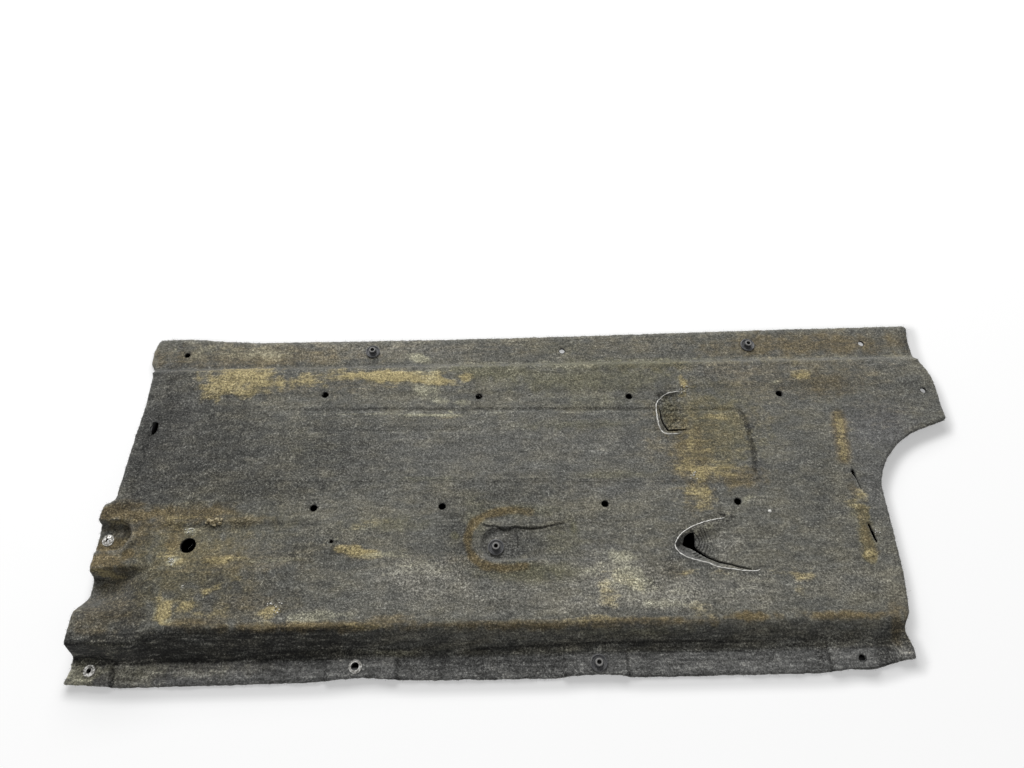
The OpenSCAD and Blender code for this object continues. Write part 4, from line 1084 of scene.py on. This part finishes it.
def build_felt(look):
    """The felt: two skins over one outline, their rims joined by a rounded wall round every edge."""
    step = look.spacing * 1000
    outline = frayed_outline(look)
    holes = [circle(x, y, r, hole_sides(r)) for x, y, r in ROUND_HOLES]
    holes += [circle(x, y, hole, 28) for x, y, _, hole, _ in SEATS.values()]
    holes += [even_loop(np.array(loop, float), 1.6, 0.5) for loop in TORN]
    loops = [outline] + holes
    rings = [circle(x, y, r + 1.3, hole_sides(r)) for x, y, r in ROUND_HOLES]
    for x, y, flange, _, lip in SEATS.values():
        rings += [circle(x, y, r, 40) for r in (lip, lip + 0.25) if r > 1]
        rings.append(circle(x, y, flange + 1, 44))
    top_flat, top_faces = skin_faces(felt_points(step, True), loops, rings)
    low_flat, low_faces = skin_faces(felt_points(step * 2.4, False), loops, rings)
    sizes = np.array([len(loop) for loop in loops])
    ends = np.cumsum(sizes)
    rim = np.arange(ends[-1])
    after = rim + 1
    after[ends - 1] = ends - sizes
    outward = np.vstack([loop_normals(outline)] + [loop_normals(loop) * side(loop) for loop in holes])
    upper = skins(*top_flat.T, look.waviness)[0]
    lower = skins(*low_flat.T, look.waviness)[1]
    rounding, bulge = [np.where(rim < len(outline), *pair) for pair in (RIM_ROUNDING, RIM_BULGE)]
    thick = upper[rim] - lower[rim]
    upper[rim] -= thick * rounding
    lower[rim] += thick * rounding * 0.4
    rows = []
    for share, out in RIM_ROWS:
        flat = top_flat[rim] + outward * (bulge * out)[:, None]
        rows.append(np.column_stack([flat, mix(lower[rim], upper[rim], share)]))
    corners = np.vstack([np.column_stack([top_flat, upper]), np.column_stack([low_flat, lower]), *rows])
    below = len(top_flat)
    mid = below + len(low_flat)
    ladder = [rim, *(mid + k * len(rim) + rim for k in range(len(rows))), below + rim]
    walls = []
    for high, low in zip(ladder[:-1], ladder[1:]):
        walls += [np.stack([high, low, high[after]], 1), np.stack([high[after], low, low[after]], 1)]
    faces = np.vstack([top_faces, low_faces[:, ::-1] + below, *walls])
    return corners, faces, dirt_and_painted_light(*corners[:, :2].T)


def build_floor():
    """A wide floor with close lines under the felt, and two shares for each point: how much painted shade it
    takes, black deep under the felt and a painted drop shadow beside it, and how far off it is. Under the
    sill flange the painted shade stays off, as light gets in there."""
    x, y = [
        np.concatenate([-FLOOR_LINES[::-1], np.arange(low, high, FLOOR_STEP), FLOOR_LINES])
        for low, high in (
            (LEFT_X - FLOOR_MARGIN, EAR_X + FLOOR_MARGIN),
            (TUNNEL_Y - FLOOR_MARGIN, SILL_Y + FLOOR_MARGIN),
        )
    ]
    columns = len(x)
    i, j = np.meshgrid(np.arange(columns - 1), np.arange(len(y) - 1))
    first = (j * columns + i).ravel()
    faces = np.stack([first, first + 1, first + columns + 1, first + columns], 1)
    x, y = [axis.ravel() for axis in np.meshgrid(x, y)]
    loop = even_loop(outline_points(), 10)
    edge = np.vstack([loop, loop[:1]])
    depth = path_distance(x, y, edge) * inside(x, y, loop)
    bare = rise(SILL_STEP_Y - 10, SILL_STEP_Y + 2, y) * rise(-300, -200, x)
    bare = np.maximum(bare, 0.6 * rise(EAR_X - 38, EAR_X - 30, x))
    back_x, back_y = x - SHADOW_SHIFT, y + SHADOW_SHIFT
    off = path_distance(back_x, back_y, edge) * (1 - inside(back_x, back_y, loop))
    # A painted drop shadow, offset from the felt's edge
    shadow = SHADOW_SHARE * (1 - rise(0, SHADOW_REACH, off))
    # Painted shade: black deep under the felt, and the painted drop shadow beside it
    cover = np.maximum(rise(3, 13, depth) * (1 - bare), shadow)
    far = rise(1200, 3600, np.hypot(x, y))
    return np.column_stack([x, y, np.zeros_like(x)]), faces, {"cover": np.stack([cover, far, far], 1)}


def side(loop):
    """-1 for a counterclockwise hole, whose free side is inward, and 1 for a clockwise one."""
    ends = np.roll(loop, -1, axis=0)
    area = (loop[:, 0] * ends[:, 1] - ends[:, 0] * loop[:, 1]).sum() / 2
    return -1 if area > 0 else 1


def unit(vectors):
    return vectors / (np.linalg.norm(vectors, axis=2)[..., None] + 1e-9)


def capped_faces(count, rings, sides):
    """Triangles of many closed tubes; each has its rings' corners and then the points of its two ends."""
    k, s = np.meshgrid(np.arange(rings - 1), np.arange(sides), indexing="ij")
    a = (k * sides + s).ravel()
    b = (k * sides + (s + 1) % sides).ravel()
    s = np.arange(sides)
    after = (s + 1) % sides
    last = (rings - 1) * sides
    poles = rings * sides
    one = np.vstack([
        np.stack([a, b, a + sides], 1),
        np.stack([b, b + sides, a + sides], 1),
        np.stack([after, s, np.full(sides, poles)], 1),
        np.stack([last + s, last + after, np.full(sides, poles + 1)], 1),
    ])
    faces = one[None] + (np.arange(count) * (poles + 2))[:, None, None]
    return faces.reshape(-1, 3)


def tubes(paths, radii, sides):
    """Tubes round many paths at once: rings square to each path, closed by a point at both ends.
    Paths have the shape count, points, 3 and radii the shape count, points."""
    count, steps, _ = paths.shape
    forward = unit(np.gradient(paths, axis=1))
    across = unit(np.cross(forward, np.array([0.03, 0.02, 1.0])))
    up = np.cross(across, forward)
    angle = turns(sides)
    spoke = across[:, :, None] * np.cos(angle)[:, None] + up[:, :, None] * np.sin(angle)[:, None]
    rings = paths[:, :, None] + spoke * radii[:, :, None, None]
    corners = np.concatenate([rings.reshape(count, steps * sides, 3), paths[:, [0, -1]]], axis=1)
    return corners.reshape(-1, 3), capped_faces(count, steps, sides)


def felt_top(x, y, look):
    return skins(x, y, look.waviness)[0]


def lip_bead(path, look, seed):
    """A raised bead of raw fibres on the crest of an inlet: a tube whose radius and place waver."""
    path = np.array(path, float)
    length = run_length(path)
    at = np.arange(0, length[-1], 1.1)
    blur = np.ones(9) / 9
    x, y = [np.convolve(np.pad(np.interp(at, length, axis), 4, "edge"), blur, "valid") for axis in path.T]
    x = x + 0.35 * ripple(x, y, 12, 4, seed)
    y = y + 0.35 * ripple(x, y, 12, 4, seed + 1)
    ends = rise(0, 9, at) * rise(0, 9, length[-1] - at)
    radius = (0.72 + 0.2 * ripple(x, y, 9, 3, seed + 2)) * (0.25 + 0.75 * ends)
    z = felt_top(x, y, look) + 0.2
    return tubes(np.stack([x, y, z], 1)[None], np.maximum(radius, 0.12)[None], 7)


def lay_fibres(look):
    """Loose fibres on the felt: short curved paths at seeded places and turns, pressed onto its surface."""
    dice = np.random.default_rng(FIBRE_SEED)
    count = look.fibres
    x = dice.uniform(LEFT_X + 25, EAR_X - 20, count * 2)
    y = dice.uniform(TUNNEL_Y + 12, SILL_Y - 14, count * 2)
    past_cutout = np.hypot(x - CUTOUT_CENTRE[0], y - CUTOUT_CENTRE[1]) > CUTOUT_R + 12
    field = inside(x, y, outline_points()) & past_cutout
    x, y = x[field][:count], y[field][:count]
    count = len(x)
    steps = 7
    along = np.linspace(-0.5, 0.5, steps)
    length = np.exp(dice.normal(math.log(9), 0.5, count)).clip(4, 26)
    turn = dice.uniform(0, 2 * math.pi, count)
    bend = dice.normal(0, 1.1, count)
    angle = turn[:, None] + bend[:, None] * along[None]
    px = x[:, None] + np.cumsum(np.cos(angle), 1) * (length / steps)[:, None]
    py = y[:, None] + np.cumsum(np.sin(angle), 1) * (length / steps)[:, None]
    thick = dice.uniform(0.07, 0.14, count)
    taper = 1 - 0.7 * np.abs(along * 2) ** 2
    z = felt_top(px.ravel(), py.ravel(), look).reshape(px.shape) + 0.12 + 0.35 * np.cos(along * math.pi)[None]
    return tubes(np.stack([px, py, z], 2), thick[:, None] * taper[None], 3)


def edge_fuzz(look):
    """Short fibres that stand out of the cut edge, with seeded length, lean and curl."""
    dice = np.random.default_rng(FUZZ_SEED)
    count = look.edge_fibres
    loop = frayed_outline(look)
    pick = dice.integers(0, len(loop), count)
    shift = dice.uniform(0, 1, count)[:, None]
    start = mix(loop[pick], loop[(pick + 1) % len(loop)], shift)
    out = loop_normals(loop)[pick]
    lean = dice.normal(0, 0.7, count)
    away = out * np.cos(lean)[:, None] + np.stack([-out[:, 1], out[:, 0]], 1) * np.sin(lean)[:, None]
    length = np.exp(dice.normal(math.log(1.7), 0.45, count)).clip(0.6, 4.5)
    upper, lower = skins(*start.T, look.waviness)
    z = mix(lower, upper, dice.uniform(0.25, 0.85, count))
    lift = dice.normal(0.1, 0.35, count)
    along = np.linspace(-0.15, 1, 4)
    reach = along[None] * length[:, None]
    curl = dice.normal(0, 0.25, count)[:, None] * along[None] ** 2 * length[:, None]
    px = start[:, :1] + away[:, :1] * reach - away[:, 1:] * curl
    py = start[:, 1:] + away[:, 1:] * reach + away[:, :1] * curl
    pz = np.maximum(0.15, z[:, None] + lift[:, None] * reach)
    thick = dice.uniform(0.07, 0.13, count)[:, None] * (1.1 - along[None] * 0.8)
    return tubes(np.stack([px, py, pz], 2), thick, 3)


def lumps(places, look, seed, rows, columns):
    """Closed lumps on the felt: spheres squashed upright, their radius changed by a few seeded waves.
    A place is x, y, radius and height."""
    dice = np.random.default_rng(seed)
    x, y, radius, height = np.asarray(places, float).T
    count = len(x)
    polar = (np.arange(rows) + 0.5) * math.pi / rows
    p, a = np.meshgrid(polar, turns(columns), indexing="ij")
    ball = np.stack([np.sin(p) * np.cos(a), np.sin(p) * np.sin(a), np.cos(p)], 2).reshape(-1, 3)
    ball = np.vstack([ball, [[0, 0, 1], [0, 0, -1]]])
    waves = dice.normal(0, 1.7, (count, 3, 3))
    phase = dice.uniform(0, 6.3, (count, 3))
    rough = 1 + 0.16 * np.sin(np.einsum("nc,kwc->knw", ball, waves) * 1.6 + phase[:, None]).sum(2)
    centre = np.column_stack([x, y, felt_top(x, y, look) + height * 0.25])
    size = np.column_stack([radius, radius * 0.8, height])
    corners = centre[:, None] + ball[None] * rough[..., None] * size[:, None]
    return corners.reshape(-1, 3), capped_faces(count, rows, columns)[:, ::-1]


def colour(name, what, default):
    return bpy.props.FloatVectorProperty(
        name=name, description=f"Colour of {what}", default=default, subtype="COLOR", min=0, max=1
    )


class UnderbodyLook(bpy.types.PropertyGroup):
    """Sizes and colours of the panel's looks."""

    spacing: bpy.props.FloatProperty(
        name="Spacing", description="Widest spacing of the felt's points",
        default=0.0042, min=0.003, unit="LENGTH",
    )
    waviness: bpy.props.FloatProperty(
        name="Waviness", description="How much the soft felt waves over its formed shape",
        default=1.0, min=0, max=1.5,
    )
    fray: bpy.props.FloatProperty(
        name="Fray", description="Depth of the ragged edge", default=0.0009, min=0, max=0.003, unit="LENGTH"
    )
    fibres: bpy.props.IntProperty(
        name="Loose fibres", description="Fibres that lie on the felt", default=1500, min=1, max=4000
    )
    edge_fibres: bpy.props.IntProperty(
        name="Edge fibres", description="Fibres that stand out of the cut edge", default=4200, min=1, max=9000
    )
    felt_cool: colour("Felt, cool", "the cool grey felt", (0.130, 0.130, 0.117))
    felt_warm: colour("Felt, warm", "the warm grey felt", (0.158, 0.149, 0.116))
    felt_blue: colour("Felt, bluish", "the bluest felt", (0.126, 0.126, 0.124))
    raw_fibre: colour("Raw fibres", "the single pale fibres", (0.165, 0.162, 0.145))
    # Also the colour of painted light on shaded slopes
    worn_and_lit: colour("Worn felt", "rubbed felt", (0.250, 0.240, 0.208))
    moss: colour("Green film", "the greenish film", (0.140, 0.134, 0.080))
    tan_mud_and_light: colour("Tan mud", "the dried ochre mud", (0.385, 0.318, 0.158))
    # Also painted light on the slope below the lug's bar
    rust_mud: colour("Brown mud", "the thin brown mud", (0.162, 0.122, 0.056))
    # Also the colour of the painted highlights
    pale_dust_and_light: colour("Pale dust", "the chalky dust", (0.39, 0.375, 0.27))
    plastic: colour("Plastic", "the captive nuts", (0.054, 0.055, 0.058))
    plastic_dust: colour("Dust on plastic", "the dust on the nuts", (0.24, 0.235, 0.225))
    steel: colour("Steel", "the plated steel", (0.72, 0.71, 0.68))
    grime: colour("Grime", "the grime on the steel", (0.19, 0.18, 0.155))
    floor: colour("Floor", "the floor", (0.82, 0.82, 0.82))
    shadow_depth: bpy.props.FloatProperty(
        name="Shadow depth", description="Share of the floor's white that a shadow can take",
        default=0.45, min=0, max=1,
    )
    key_power: bpy.props.FloatProperty(
        name="Key lamp", description="Power of the wide lamp behind the panel, in watts", default=380, min=0
    )
    sky: bpy.props.FloatProperty(
        name="Room light", description="Strength of the even light of the room", default=0.335, min=0, max=1
    )


class UNDERBODY_OT_felt(bpy.types.Operator):
    """Builds the felt with its dirt and its painted light and shade, and stands it for the CAD felt"""

    bl_idname = "underbody.felt"
    bl_label = "Felt"

    def execute(self, context):
        look = context.scene.underbody_look
        corners, faces, layers = build_felt(look)
        piece = put_mesh("felt_sheet", corners, faces, layers)
        finish_piece(piece, felt_material(look), "felt", "felt_panel")
        return {"FINISHED"}


class UNDERBODY_OT_lips(bpy.types.Operator):
    """Lays the pale raw edge round both air inlets"""

    bl_idname = "underbody.lips"
    bl_label = "Inlet Edges"

    def execute(self, context):
        look = context.scene.underbody_look
        material = pale_fibre_material()
        for name, path, seed in (("duct_lip", DUCT_LIP, 61), ("flap_lip", FLAP_LIP, 67)):
            piece = put_mesh(name, *lip_bead(path, look, seed))
            finish_piece(piece, material, "felt")
        return {"FINISHED"}


class UNDERBODY_OT_fibres(bpy.types.Operator):
    """Lays the loose fibres and those that stand out of the cut edge"""

    bl_idname = "underbody.fibres"
    bl_label = "Fibres"

    def execute(self, context):
        look = context.scene.underbody_look
        material = loose_fibre_material()
        for name, shape in (("loose_fibres", lay_fibres(look)), ("edge_fibres", edge_fuzz(look))):
            piece = put_mesh(name, *shape)
            finish_piece(piece, material, "felt")
        return {"FINISHED"}


class UNDERBODY_OT_mud(bpy.types.Operator):
    """Lays the dried clumps and the grit"""

    bl_idname = "underbody.mud"
    bl_label = "Mud and Grit"

    def execute(self, context):
        look = context.scene.underbody_look
        dice = np.random.default_rng(GRIT_SEED)
        grit = []
        for x, y, spread, count in GRIT:
            near = dice.normal(0, spread / 2, (count, 2)) + (x, y)
            radius = dice.uniform(0.5, 1.3, count)
            grit.append(np.column_stack([near, radius, radius * 0.7]))
        grit.append([WHITE_SPECK])
        piece = put_mesh("mud_clump", *lumps(CLUMPS, look, CLUMP_SHAPE_SEED, 12, 18))
        finish_piece(piece, mud_material(), "felt")
        piece = put_mesh("grit", *lumps(np.vstack(grit), look, GRIT_SHAPE_SEED, 4, 6))
        finish_piece(piece, pale_fibre_material(), "felt")
        return {"FINISHED"}


class UNDERBODY_OT_fasteners(bpy.types.Operator):
    """Gives the CAD nuts, eyelet and washers their finish"""

    bl_idname = "underbody.fasteners"
    bl_label = "Fasteners"

    def execute(self, context):
        look = context.scene.underbody_look
        finishes = {key: plastic_material(key, look) for key in SEATS if key not in STEEL}
        finishes |= {key: steel_material(key, look, *finish) for key, finish in STEEL.items()}
        for name, material in finishes.items():
            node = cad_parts[name]
            for place in node.material_slots:
                place.material = material
        return {"FINISHED"}


class UNDERBODY_OT_stage(bpy.types.Operator):
    """Lays the floor and sets the room, the lamp and the camera"""

    bl_idname = "underbody.stage"
    bl_label = "Stage"

    def execute(self, context):
        look = context.scene.underbody_look
        floor = put_mesh("floor", *build_floor())
        floor.data.materials.append(floor_material(look))
        self.room(context.scene, look)
        self.lamp("key_lamp", look.key_power, LAMP_PLACE, LAMP_SIZE)
        camera = bpy.data.cameras.new("camera")
        camera.lens = LENS
        camera.sensor_width = 36
        eye = bpy.data.objects.new("camera", camera)
        eye.location = EYE
        eye.rotation_euler = (math.radians(EYE_TILT), 0, math.radians(EYE_TURN))
        context.scene.collection.objects.link(eye)
        context.scene.camera = eye
        context.scene.view_settings.view_transform = "Standard"
        return {"FINISHED"}

    @staticmethod
    def room(scene, look):
        """Even light, which the camera, mirrors and glass see as plain white."""
        scene.world = bpy.data.worlds.new("room")
        shader = Shader(scene.world)
        strength = look.sky + seen_rays(shader) * (1.0 - look.sky)
        light = shader.add("ShaderNodeBackground", None, {"Color": (1, 1, 1, 1), "Strength": strength})
        shader.add("ShaderNodeOutputWorld", None, {"Surface": light}, None)

    @staticmethod
    def lamp(name, power, place, size):
        """A wide lamp that faces the panel's middle."""
        data = bpy.data.lights.new(name, "AREA")
        data.shape = "RECTANGLE"
        data.size, data.size_y = size
        data.energy = power
        lamp = bpy.data.objects.new(name, data)
        lamp.location = place
        aim = -lamp.location
        lamp.rotation_euler = aim.to_track_quat("-Z", "Y").to_euler()
        bpy.context.scene.collection.objects.link(lamp)


def seen_rays(shader):
    """1 for what the camera, a mirror or glass sees, and 0 for the rays that only carry light."""
    kinds = ("Camera", "Glossy", "Transmission")
    camera, glossy, transmission = [shader.add("ShaderNodeLightPath", out=f"Is {kind} Ray") for kind in kinds]
    return (camera + glossy + transmission).clamp()


def floor_material(look):
    """A matt floor: white where it is seen in the open, with a light shadow that is partly painted, and
    painted black deep under the felt. To the rays that only carry light it is plain and pale."""
    shader = Shader(bpy.data.materials.new("floor"))
    seen = seen_rays(shader)
    cover, far, _ = shader.layer("cover")
    depth = look.shadow_depth * (1.0 - far)
    glow = seen * (1.0 - cover) * (1.0 - depth)
    # Painted shade: the seen colour goes dark under the felt and in the painted drop shadow
    white = (1.0 - cover) * depth * 1.06
    colour = shader.blend(seen, look.floor, shader.grey(white))
    glow = shader.grey(glow)
    return shader.surface(
        Base_Color=colour, Roughness=1.0, Specular_IOR_Level=0.0, Emission_Color=glow, Emission_Strength=1.0
    )


class UNDERBODY_PT_panel(bpy.types.Panel):
    """Lists the panel's pieces and their sizes and colours"""

    bl_label = "Underbody Panel"
    bl_idname = "UNDERBODY_PT_panel"
    bl_space_type = "VIEW_3D"
    bl_region_type = "UI"
    bl_category = "Underbody Panel"

    def draw(self, context):
        look = context.scene.underbody_look
        for key in UnderbodyLook.__annotations__:
            self.layout.prop(look, key)
        for operator in OPERATORS:
            self.layout.operator(operator.bl_idname)


OPERATORS = (
    UNDERBODY_OT_stage,
    UNDERBODY_OT_felt,
    UNDERBODY_OT_lips,
    UNDERBODY_OT_fibres,
    UNDERBODY_OT_mud,
    UNDERBODY_OT_fasteners,
)


def register():
    for kind in (UnderbodyLook, *OPERATORS, UNDERBODY_PT_panel):
        bpy.utils.register_class(kind)
    bpy.types.Scene.underbody_look = bpy.props.PointerProperty(type=UnderbodyLook)


def unregister():
    del bpy.types.Scene.underbody_look
    for kind in (UNDERBODY_PT_panel, *reversed(OPERATORS), UnderbodyLook):
        bpy.utils.unregister_class(kind)


def main():
    register()
    bpy.ops.underbody.stage()
    bpy.ops.underbody.felt()
    bpy.ops.underbody.lips()
    bpy.ops.underbody.fibres()
    bpy.ops.underbody.mud()
    bpy.ops.underbody.fasteners()


if __name__ == "__main__":
    main()
